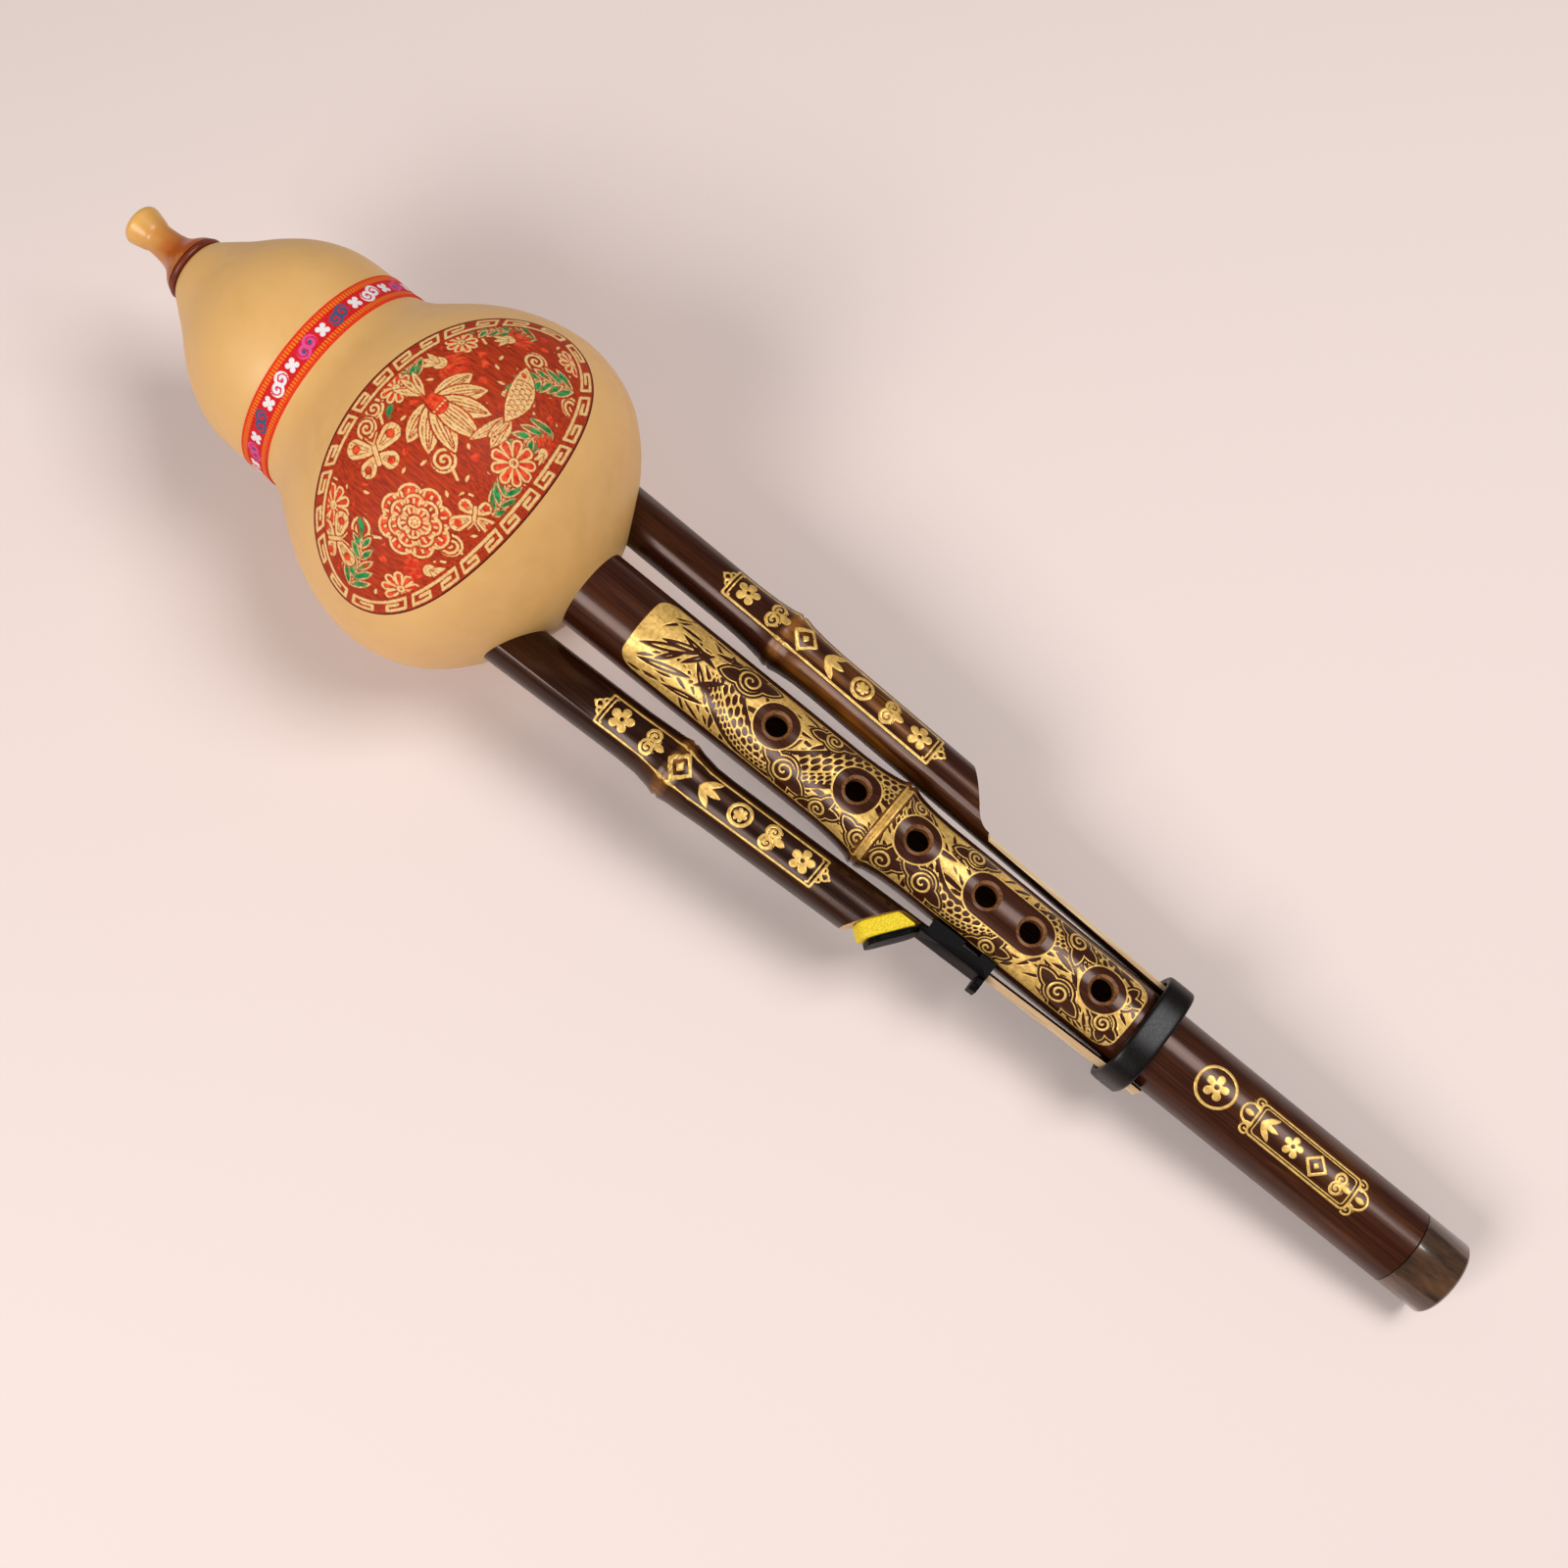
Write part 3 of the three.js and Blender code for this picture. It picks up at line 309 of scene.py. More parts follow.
def lengths_along(points):
    """How far along a chain of points each of them lies."""
    return np.concatenate([[0], np.cumsum(np.hypot(*np.diff(points, axis=0).T))])


def through(knots, count):
    """A smooth curve through knots, as count points.

    Cubic Hermite spans over the chord length u, with the slope at knot i
    (p[i+1] - p[i-1]) / (u[i+1] - u[i-1]).
    """
    p = np.asarray(knots, float)
    u = lengths_along(p)
    before = np.maximum(np.arange(len(p)) - 1, 0)
    after = np.minimum(np.arange(len(p)) + 1, len(p) - 1)
    slope = (p[after] - p[before]) / (u[after] - u[before])[:, None]
    at = np.linspace(0, u[-1], count)
    i = np.clip(np.searchsorted(u, at, side="right") - 1, 0, len(p) - 2)
    h = (u[i + 1] - u[i])[:, None]
    t = ((at - u[i])[:, None]) / h
    return ((2 * t**3 - 3 * t**2 + 1) * p[i] + (t**3 - 2 * t**2 + t) * h * slope[i]
            + (3 * t**2 - 2 * t**3) * p[i + 1] + (t**3 - t**2) * h * slope[i + 1])


def even_angles(count):
    """Even steps of a whole turn, from 0."""
    return np.arange(count) * FULL_TURN / count


def about_axis(x, r, angle):
    """Points about the melody pipe's axis: (x, r sin a, r cos a), where a goes from straight up to +Y."""
    return np.stack([x, r * np.sin(angle), r * np.cos(angle)], -1)


def turned_piece(name, profile, segments, material, replaced, sharp):
    """A closed body: a profile of (x, r) that closes on itself, turned about the axis."""
    x, r = np.repeat(np.asarray(profile, float), segments, axis=0).T
    points = about_axis(x, r, np.tile(even_angles(segments), len(profile)))
    faces = [grid_faces(len(profile), segments, closed_columns=True, closed_rows=True)]
    piece(name, points, faces, [material], BODY, replaced, sharp)


def gourd_curve(count):
    """The gourd's outline from neck to end, (x, r): the smooth curve through its knots, no wider than the
    belly."""
    waist_x = GOURD_X + WAIST_AT
    belly_x = GOURD_X + BELLY_AT
    curve = through([
        *knots_from(SMALL_BULB_SHARES, GOURD_X, SMALL_BULB_AT, NECK_R, SMALL_BULB_R - NECK_R),
        (waist_x, WAIST_R),
        *knots_from(UPPER_BELLY_SHARES, waist_x, belly_x - waist_x, WAIST_R, BELLY_R - WAIST_R),
        *knots_from(LOWER_BELLY_SHARES, belly_x, GOURD_END_X - belly_x, 0, BELLY_R),
        (GOURD_END_X, GOURD_END_R)], count)
    curve[:, 1] = np.minimum(curve[:, 1], BELLY_R)
    return curve


GOURD_CURVE = gourd_curve(400)
GOURD_ARC = lengths_along(GOURD_CURVE)
GOURD_SLOPE = np.gradient(GOURD_CURVE, GOURD_ARC, axis=0)


def gourd_arc_at(x):
    """How far along the gourd's outline its station x lies."""
    return np.interp(x, GOURD_CURVE[:, 0], GOURD_ARC)


def on_gourd(arc, angle, lift):
    """Points on the gourd: arc is the way along its outline from the neck, and lift is the height off the
    skin along its normal (-dr, dx) / d(arc)."""
    x, r = [np.interp(arc, GOURD_ARC, GOURD_CURVE[:, k]) for k in (0, 1)]
    dx, dr = [np.interp(arc, GOURD_ARC, GOURD_SLOPE[:, k]) for k in (0, 1)]
    return about_axis(x - dr * lift, r + dx * lift, angle)


def node_swell(x, node_x, swell):
    """How far a bamboo node raises the pipe at x: the smooth curve through its shares."""
    curve = through(knots_from(NODE_SHARES, 0, NODE_REACH, 0, swell), 240)
    return np.interp(x - node_x, *curve.T, left=0, right=0)


def main_radius(x):
    """Radius of the melody pipe's skin: an even taper, raised at the node."""
    taper = np.interp(x, [MAIN_X, MAIN_END_X], [MAIN_TOP_R, MAIN_END_R])
    return taper + node_swell(x, MAIN_NODE_X, MAIN_NODE_SWELL)


def on_main(x, angle, lift):
    """Points on the melody pipe's skin, raised by lift."""
    return about_axis(x, main_radius(x) + lift, angle)


def straight(x, stops, values):
    """Straight lines through values at stops, with the first and the last line drawn on past the ends."""
    found = np.interp(x, stops, values)
    for end, along in ((0, np.minimum(x - stops[0], 0)), (-1, np.maximum(x - stops[-1], 0))):
        a, b = (0, 1) if end == 0 else (-2, -1)
        found = found + along * (values[b] - values[a]) / (stops[b] - stops[a])
    return found


def side_axis(pipe, x):
    """Centre (y, z) and radius of a side pipe at x. Past its cut the wall goes on as a tongue, whose skin
    leans in to the melody pipe and lies along it under the ring."""
    cut_x, lean_x = pipe["cut_x"], pipe["lean_x"]
    held_x = np.minimum(x, lean_x)
    stops = [GOURD_END_X, SIDE_NODE_X - SIDE_STEP_REACH, SIDE_NODE_X + SIDE_STEP_REACH, cut_x]
    r = straight(held_x, [SIDE_X, cut_x], [pipe["top_r"], pipe["cut_r"]])
    spread = straight(held_x, stops, pipe["spreads"])
    leaning = np.interp(x, [lean_x, RING_X], [0, 1])
    spread = spread + leaning * (HELD_SKIN + r - spread)
    past_node = SIDE_NODE_X + NODE_REACH
    drop_past_node = SIDE_DROP_AT_GOURD * (cut_x - past_node) / (cut_x - GOURD_END_X)
    drop = straight(held_x, [GOURD_END_X, past_node, lean_x], [SIDE_DROP_AT_GOURD, drop_past_node, 0])
    return pipe["side"] * spread, -drop, r


def on_side(pipe, x, angle, lift):
    """Points on a side pipe's skin, round its own axis, raised by lift."""
    y, z, r = side_axis(pipe, x)
    points = about_axis(x, r + node_swell(x, SIDE_NODE_X, SIDE_NODE_SWELL) + lift, angle)
    return points + np.stack([np.zeros_like(y), y, z], -1)


# Drawing: each function gives the signed distance in mm to the edge of a flat shape, negative inside it.
# cp and cq are the shape's middle, and a stroke's half is half its width.


def union(*shapes):
    """What any of the shapes covers: the least of their distances."""
    return reduce(np.minimum, shapes)


def overlap(*shapes):
    """What all of the shapes cover: the greatest of their distances."""
    return reduce(np.maximum, shapes)


def outline(distance, half):
    """A stroke along a shape's edge."""
    return np.abs(distance) - half


def disc(p, q, cp, cq, radius):
    """The way from the middle, less the radius."""
    return np.hypot(p - cp, q - cq) - radius


def ring(p, q, cp, cq, radius, half):
    """A stroke along a disc's edge."""
    return outline(disc(p, q, cp, cq, radius), half)


def bar(p, q, p0, q0, p1, q1, half):
    """Distance to the segment between two points, less half the bar's width."""
    dp, dq = p1 - p0, q1 - q0
    t = np.clip(((p - p0) * dp + (q - q0) * dq) / (dp * dp + dq * dq), 0, 1)
    return np.hypot(p - p0 - t * dp, q - q0 - t * dq) - half


def path(p, q, corners, half):
    """Bars between following corners."""
    return union(*(bar(p, q, *a, *b, half) for a, b in zip(corners, corners[1:])))


def rounded_box(p, q, cp, cq, half_p, half_q, radius):
    """A box with half sides half_p and half_q: the way past its shrunk sides, less the corners' radius."""
    dp = np.abs(p - cp) - half_p + radius
    dq = np.abs(q - cq) - half_q + radius
    return np.hypot(np.maximum(dp, 0), np.maximum(dq, 0)) + np.minimum(np.maximum(dp, dq), 0) - radius


def turned_by(p, q, cp, cq, degrees):
    """Coordinates about a centre, with the first axis along a direction."""
    c, s = math.cos(math.radians(degrees)), math.sin(math.radians(degrees))
    return (p - cp) * c + (q - cq) * s, (q - cq) * c - (p - cp) * s


def petal(p, q, cp, cq, degrees, length, width):
    """A leaf with pointed ends from its foot (cp, cq): where two circles overlap, whose radius is
    (length^2 + width^2) / (4 width)."""
    a, b = turned_by(p, q, cp, cq, degrees)
    a = a - length / 2
    radius = (length**2 + width**2) / (4 * width)
    return np.hypot(a, np.abs(b) + radius - width / 2) - radius


def drop(p, q, cp, cq, degrees, length, width):
    """A petal with a round tip: the hull of a point and a circle, by a width that grows with the root of
    the way along."""
    a, b = turned_by(p, q, cp, cq, degrees)
    t = np.clip(a / (length - width / 2), 0, 1)
    return np.hypot(a - t * (length - width / 2), b) - width / 2 * np.sqrt(t)


def spiral(p, q, cp, cq, pitch, turns, half, start=0.0, hand=1):
    """A scroll whose arm lies at radius = pitch * (angle / 2 pi + whole turns)."""
    radius = np.hypot(p - cp, q - cq)
    angle = (hand * np.arctan2(q - cq, p - cp) + start) / FULL_TURN
    turn = np.clip(np.round(radius / pitch - angle), 0, None)
    along = np.minimum(turn + angle, turns)
    distance = np.abs(radius - pitch * along)
    beyond = (radius - pitch * turns) - half
    return np.maximum(distance - half, np.where(turn + angle > turns, beyond, -FAR))


def flower(p, q, cp, cq, petals, radius, width, degrees=0.0):
    """Petals round a centre, as one distance in the wedge of a single petal."""
    a, b = turned_by(p, q, cp, cq, degrees)
    wedge = FULL_TURN / petals
    angle = np.arctan2(b, a)
    angle = angle - wedge * np.round(angle / wedge)
    r = np.hypot(a, b)
    return drop(r * np.cos(angle), r * np.sin(angle), 0, 0, 0, radius, width)


def ribs(b, pitch, half):
    """Even lines across b: the way to the nearest whole pitch, less half a line's width."""
    return np.abs((b + pitch / 2) % pitch - pitch / 2) - half


def staggered(a, b, pitch, row):
    """The way (a, b) from the nearest of the points that stand a pitch apart in rows a row apart, with
    every other row moved by half a pitch."""
    rowed = b / row
    along = (a + (np.round(rowed) % 2) * pitch / 2) / pitch
    return (along - np.round(along)) * pitch, (rowed - np.round(rowed)) * row


def scattered(drawn, shape, taken, room):
    """A drawing with a shape added wherever what is taken lies farther off than room."""
    return np.where(taken > room, np.minimum(drawn, shape), drawn)


def drawing_grid(p0, p1, half, margin_p, margin_q, step):
    """The points of a drawing, p from p0 to p1 and q from -half to half with margins all round, a step in
    metres apart."""
    p = np.arange(p0 - margin_p, p1 + margin_p, step / MM)
    q = np.arange(-half - margin_q, half + margin_q, step / MM)
    return np.meshgrid(p, q, indexing="ij")


# Finishes


def toned(colour, tones=(1, 1, 1)):
    """A linear colour with each channel times its tone, at most 1, and alpha."""
    return [min(1, c * k) for c, k in zip(colour, tones)] + [1.0]


def add(tree, kind, inputs=(), out=0, **settings):
    """Adds a node with its settings and gives one of its outputs. inputs fills the sockets in order, or maps
    a socket's name or number to what it takes: a value, or the output of another node. Map Range's are what
    is mapped, the two values it goes between and the two it becomes. Mix's 0, 6 and 7 are the share and the
    two colours."""
    node = tree.nodes.new("ShaderNode" + kind)
    for name, value in settings.items():
        setattr(node, name, value)
    for key, value in inputs.items() if isinstance(inputs, dict) else enumerate(inputs):
        if isinstance(value, bpy.types.NodeSocket):
            tree.links.new(value, node.inputs[key])
        else:
            node.inputs[key].default_value = value
    return node.outputs[out] if node.outputs else node


def new_material(name):
    """A material whose nodes are still to be added, and its node tree."""
    material = bpy.data.materials.new(name)
    material.use_nodes = True
    material.node_tree.nodes.clear()
    return material, material.node_tree


def instrument_coordinates(tree, along=1.0):
    """Object coordinates turned and shifted back to the instrument's frame, in mm, with x times along."""
    x, y, z = SHIFT
    back_x, back_z = tilted(x, z, -TILT)
    here = add(tree, "Mapping", {
        "Vector": add(tree, "TexCoord", out="Object"), "Location": (-back_x, -y, -back_z),
        "Rotation": (0, -TILT, 0), "Scale": (1 / MM,) * 3})
    return add(tree, "VectorMath", (here, (along, 1, 1)), operation="MULTIPLY")


def blots(tree, size, detail=2.0, along=1.0, roughness=0.5):
    """A random pattern with blots about size mm across, and 1 / along times as long along the pipe."""
    return add(tree, "TexNoise", {
        "Vector": instrument_coordinates(tree, along), "Scale": 1 / size, "Detail": detail,
        "Roughness": roughness})


def laid(tree, under, over, pattern, none_at, full_at, most=1.0):
    """One colour over another where a pattern goes from one value, which shows none of it, to another."""
    share = add(tree, "MapRange", (pattern, none_at, full_at, 0.0, most))
    return add(tree, "Mix", {0: share, 6: under, 7: over}, 2, data_type="RGBA")


def surface(tree, inputs, relief=None):
    """Ends a material in a Principled shader. relief is a pattern, its height in mm and its strength."""
    if relief:
        height, depth, strength = relief
        inputs = {**inputs, "Normal": add(
            tree, "Bump", {"Height": height, "Distance": depth * MM, "Strength": strength})}
    add(tree, "OutputMaterial", (add(tree, "BsdfPrincipled", inputs),))


def grained(name, **changes):
    """A finish with one grain of a real size in mm, which shows in colour, roughness and relief."""
    plain = {"along": 1.0, "low": 0.3, "high": 0.7, "texture": "TexNoise", "sockets": {}}
    row = {**plain, **GRAINED[name], **changes}
    material, tree = new_material(name)
    grain = add(tree, row["texture"], {
        "Vector": instrument_coordinates(tree, row["along"]), "Scale": 1 / row["size"],
        "Detail": 3.0 * (row["texture"] == "TexNoise")})
    rough = add(tree, "MapRange", (grain, 0.3, 0.7, row["rough"] - 0.05, row["rough"] + 0.05))
    colour = laid(tree, row["dark"], row["light"], grain, row["low"], row["high"])
    surface(tree, {**row["sockets"], "Base Color": colour, "Roughness": rough}, (grain, row["relief"], 0.4))
    return material


GRAINED = {
    # Cut by a knife and left bare: pale, straight-grained and dull
    "cut bamboo, bare": dict(
        size=0.45, along=0.03, dark=linear("#b98d58"), light=linear("#e6cda2"), rough=0.6, relief=0.05),
    # The walls of burnt-out finger holes and of the bore: mid-brown, rubbed smooth but not lacquered
    "bored bamboo, rubbed": dict(
        size=0.5, along=0.1, dark=linear("#482816"), light=linear("#905a2a"), rough=0.5, relief=0.04),
    # A turned ring, near-black red brown, with a soft polish and faint clouds
    "dark red-brown resin, polished": dict(
        size=2.0, dark=linear("#4a160a"), light=linear("#853214"), low=0.0, high=1.0, rough=0.38,
        relief=0.003, sockets={"Specular IOR Level": 0.35, "Coat Weight": 0.1, "Coat Roughness": 0.2}),
    # Black from the mould, with its fine spark-eroded grain under a satin gloss
    "moulded rubber, satin": dict(
        size=0.5, dark=linear("#0a0606"), light=linear("#120c0c"), rough=0.34, relief=0.03,
        sockets={"Specular IOR Level": 0.2}),
    "moulded ABS, satin black": dict(
        size=0.35, dark=linear("#060404"), light=linear("#0d0a0a"), rough=0.42, relief=0.02,
        sockets={"Specular IOR Level": 0.035}),
    # Bright yellow, dull and soft, with closed cells of about half a millimetre
    "closed-cell foam": dict(
        size=0.45, light=linear("#d8b414"), low=0.1, rough=0.75, relief=0.06, texture="TexVoronoi"),
    # Sheet brass, filed along its length
    "rolled brass": dict(
        size=0.3, along=0.05, dark=linear("#b08a3a"), light=linear("#d8b968"), low=0.0, high=1.0, rough=0.33,
        relief=0.004, sockets={"Metallic": 1.0}),
    # Brown beeswax pressed in by thumb: dull, with soft lumps
    "brown beeswax": dict(
        size=2.5, dark=linear("#5a3a18"), light=linear("#85602f"), low=0.0, high=1.0, rough=0.55, relief=0.2),
    # Tan, with dark grains of a millimetre or so
    "pressed cork": dict(
        size=1.2, dark=linear("#c59a68"), light=linear("#8a6238"), low=0.2, high=0.8, rough=0.85, relief=0.1,
        texture="TexVoronoi")}


def gourd_varnish(skin):
    """Dried gourd under satin varnish: cloudy tan, with faint pores and a few darker freckles."""
    material, tree = new_material("dried gourd, satin varnish")
    dark = toned(skin, (0.93, 0.89, 0.82))
    clouds = laid(tree, dark, toned(skin, (1.05,) * 3), blots(tree, 26.0, 4.0), 0.35, 0.65)
    mottled = laid(tree, clouds, toned(skin), blots(tree, 5.0, 3.0), 0.3, 0.7)
    pores = blots(tree, 0.7)
    surface(tree, {
        "Base Color": laid(tree, mottled, dark, blots(tree, 2.4, 1.0), 0.72, 0.8, 0.35),
        "Roughness": add(tree, "MapRange", (pores, 0.2, 0.8, 0.42, 0.56)),
        "Coat Weight": 0.12, "Coat Roughness": 0.35}, (pores, 0.03, 0.25))
    return material


def medallion_stain(skin, burnt):
    """Laser-burnt and hand-coloured gourd skin: the bare skin shows as light lines on a matt rust stain that
    keeps the burn's fine rows, broad light shapes are engraved with fine rust strokes, and the colours have
    brushed edges."""
    material, tree = new_material("burnt and stained gourd skin")
    rows = blots(tree, 0.55, along=0.12)
    strokes = blots(tree, 0.5, along=0.35)
    patches = blots(tree, 1.5)
    rust = laid(tree, toned(burnt), linear("#bc3c18"), rows, 0.32, 0.68)
    tan = laid(tree, toned(skin), linear("#e9c98c"), blots(tree, 1.2), 0.3, 0.7)
    red = laid(tree, linear("#c8281a"), linear("#e8562c"), patches, 0.35, 0.65)
    green = laid(tree, linear("#0d6b35"), linear("#2f9a58"), patches, 0.35, 0.65)
    ragged = add(tree, "Math", (blots(tree, 0.5, 3.0), 0.5, -0.25), operation="MULTIPLY_ADD")
    brushed = add(tree, "Math", (blots(tree, 2.2, 3.0), 2.6, -1.3), operation="MULTIPLY_ADD")

    def drawn(name, edge, soft, under, over):
        distance = add(tree, "Attribute", out="Fac", attribute_name=name)
        inside = add(tree, "Math", (distance, edge), operation="ADD")
        return laid(tree, under, over, inside, soft, -soft)

    colour = drawn("dark", ragged, 0.12, rust, linear("#4a1208"))
    colour = drawn("red", brushed, 0.3, colour, red)
    broad = add(tree, "MapRange", (
        add(tree, "Attribute", out="Fac", attribute_name="tan"), -0.7, -0.4, 0.95, 0.0))
    broken = add(tree, "MapRange", (strokes, 0.42, 0.52))
    engraved = add(tree, "Math", (broad, broken), operation="MULTIPLY")
    colour = drawn("tan", ragged, 0.12, colour, laid(tree, tan, rust, engraved, 0, 1))
    colour = drawn("green", brushed, 0.3, colour, green)
    surface(tree, {
        "Base Color": colour, "Roughness": add(tree, "MapRange", (rows, 0.2, 0.8, 0.5, 0.7)),
        "Specular IOR Level": 0.12, "Coat Weight": 0.03, "Coat Roughness": 0.4}, (rows, 0.04, 0.4))
    return material


def bamboo_lacquer(name, bamboo, node_x, warmth, warm_x):
    """Smoked bamboo, polished and lacquered: fine dark fibres along the pipe, amber patches between the two
    places of warm_x where the smoke is thin, a broken brown band at the node, and a warm gloss."""
    material, tree = new_material(name)
    fibres = blots(tree, 0.5, 4.0, 0.02, 0.6)
    streaks = blots(tree, 2.2, 3.0, 0.05)
    patches = blots(tree, 9.0, 3.0, 0.35)
    x = add(tree, "SeparateXYZ", (instrument_coordinates(tree),))
    amber = add(tree, "MapRange", (streaks, 0.4, 0.7))
    for pattern, low, high, least, most in (
            (patches, 0.4, 0.65, 0, 1), (x, warm_x[0] - 6, warm_x[0] + 6, 0.05, warmth),
            (x, warm_x[1] - 12, warm_x[1] + 12, 1, 0.2)):
        share = add(tree, "MapRange", (pattern, low, high, least, most))
        amber = add(tree, "Math", (amber, share), operation="MULTIPLY")
    colour = laid(tree, toned(bamboo), toned(bamboo, (2.6, 2.4, 2.0)), fibres, 0.35, 0.75)
    colour = laid(tree, colour, linear("#a4621e"), amber, 0, 1)
    wander = add(tree, "Math", (patches, 3.0, -1.5 - node_x), operation="MULTIPLY_ADD")
    off = add(tree, "Math", (add(tree, "Math", (x, wander)),), operation="ABSOLUTE")
    band = add(tree, "Math", (
        add(tree, "MapRange", (off, 0.6, 2.6, 1, 0)),
        add(tree, "MapRange", (streaks, 0.35, 0.6, 0.1, 0.85))), operation="MULTIPLY")
    colour = laid(tree, colour, linear("#8a5622"), band, 0, 1)
    surface(tree, {
        "Base Color": colour,
        "Roughness": add(tree, "MapRange", (fibres, 0.3, 0.7, 0.2, 0.32)),
        "Specular IOR Level": 0.32, "Specular Tint": linear("#ffdacb"), "Coat Weight": 0.08,
        "Coat Roughness": 0.14}, (fibres, 0.03, 0.3))
    return material


def gold_paint(gold):
    """Gold bronze paint rubbed into engraving: metallic, warm, mottled with lighter blots that are partly
    painted glints, worn thin in blots and along the fibres.
    """
    material, tree = new_material("gold bronze paint")
    mottle_and_painted_glints = blots(tree, 3.0, 4.0, 1.0, 0.6)
    worn = blots(tree, 1.1, 3.0, 1.0, 0.6)
    deep = toned(gold, (0.5, 0.42, 0.3))
    # Lighter gold in blots: partly the paint's own mottling, partly painted glints
    colour = laid(tree, toned(gold, (1.3,) * 3), toned(gold), mottle_and_painted_glints, 0.35, 0.65)
    colour = laid(tree, colour, deep, worn, 0.42, 0.68, 0.65)
    colour = laid(tree, colour, deep, blots(tree, 0.7, 4.0, 0.06, 0.65), 0.5, 0.75, 0.8)
    surface(tree, {
        "Base Color": colour, "Metallic": 0.4,
        "Roughness": add(tree, "MapRange", (mottle_and_painted_glints, 0.3, 0.7, 0.34, 0.5))}, (worn, 0.04, 0.5))
    return material


def amber_resin():
    """Cast and turned resin: pale honey at the tip, deep orange brown at the base, cloudy inside, with a
    soft polish."""
    material, tree = new_material("amber resin, polished")
    swirl = blots(tree, 5.0, 3.0, 0.5)
    x = add(tree, "SeparateXYZ", (instrument_coordinates(tree),))
    deep = add(tree, "Math", (swirl, 5.0, x), operation="MULTIPLY_ADD")
    colour = laid(tree, linear("#dda654"), linear("#a84a04"), deep, 5.0, 17.0)
    colour = laid(tree, colour, linear("#e4bc78"), swirl, 0.5, 0.8, 0.4)
    surface(tree, {
        "Base Color": colour, "Roughness": 0.34, "Specular IOR Level": 0.4, "Coat Weight": 0.08,
        "Coat Roughness": 0.2, "Subsurface Weight": 0.15, "Subsurface Radius": (0.004, 0.002, 0.0008)})
    return material


def horn():
    """Polished smoky horn: brown with paler streaks along the pipe and darker clouds."""
    material, tree = new_material("smoky horn, polished")
    colour = laid(tree, linear("#28150b"), linear("#64432a"), blots(tree, 3.2, 4.0, 0.25, 0.6), 0.35, 0.65)
    colour = laid(tree, colour, linear("#3c2818"), blots(tree, 6.0, 3.0), 0.4, 0.7, 0.6)
    surface(tree, {"Base Color": colour, "Roughness": 0.18, "Coat Weight": 0.5, "Coat Roughness": 0.06})
    return material


def woven_ribbon():
    """Jacquard ribbon: the warp colours are woven as cords across an orange-red ground, darker in the grooves
    between the cords as painted shade. The drawing is in the ribbon's own attributes."""
    material, tree = new_material("jacquard woven ribbon")
    shade = blots(tree, 0.5)
    drawn = {name: add(tree, "Attribute", out="Fac", attribute_name=name)
             for name in ("along", "across", "yellow", "pink", "blue", "white")}
    turns = add(tree, "Math", (drawn["along"], FULL_TURN / RIBBON_CORD), operation="MULTIPLY")
    cords = add(tree, "Math", (turns,), operation="SINE")
    edge = add(tree, "Math", (drawn["across"],), operation="ABSOLUTE")
    ground = laid(tree, linear("#e02408"), linear("#f24412"), shade, 0.3, 0.7)
    centre = laid(tree, linear("#c80c10"), linear("#e81a1e"), shade, 0.3, 0.7)
    colour = laid(tree, ground, centre, edge, 2.5, 2.3)
    for name, code in (("yellow", "#f08a18"), ("pink", "#e0509a"), ("blue", "#31587e"), ("white", "#f2ecec")):
        colour = laid(tree, colour, linear(code), drawn[name], 0.1, -0.1)
    surface(tree, {
        # Darker red where the cords' relief is lowest: painted shade in the grooves between them
        "Base Color": laid(tree, colour, linear("#5a0c0c"), cords, 1, -1, 0.22), "Roughness": 0.75,
        "Specular IOR Level": 0.2, "Sheen Weight": 0.06, "Sheen Roughness": 0.4}, (cords, 0.06, 0.6))
    return material


# Operators


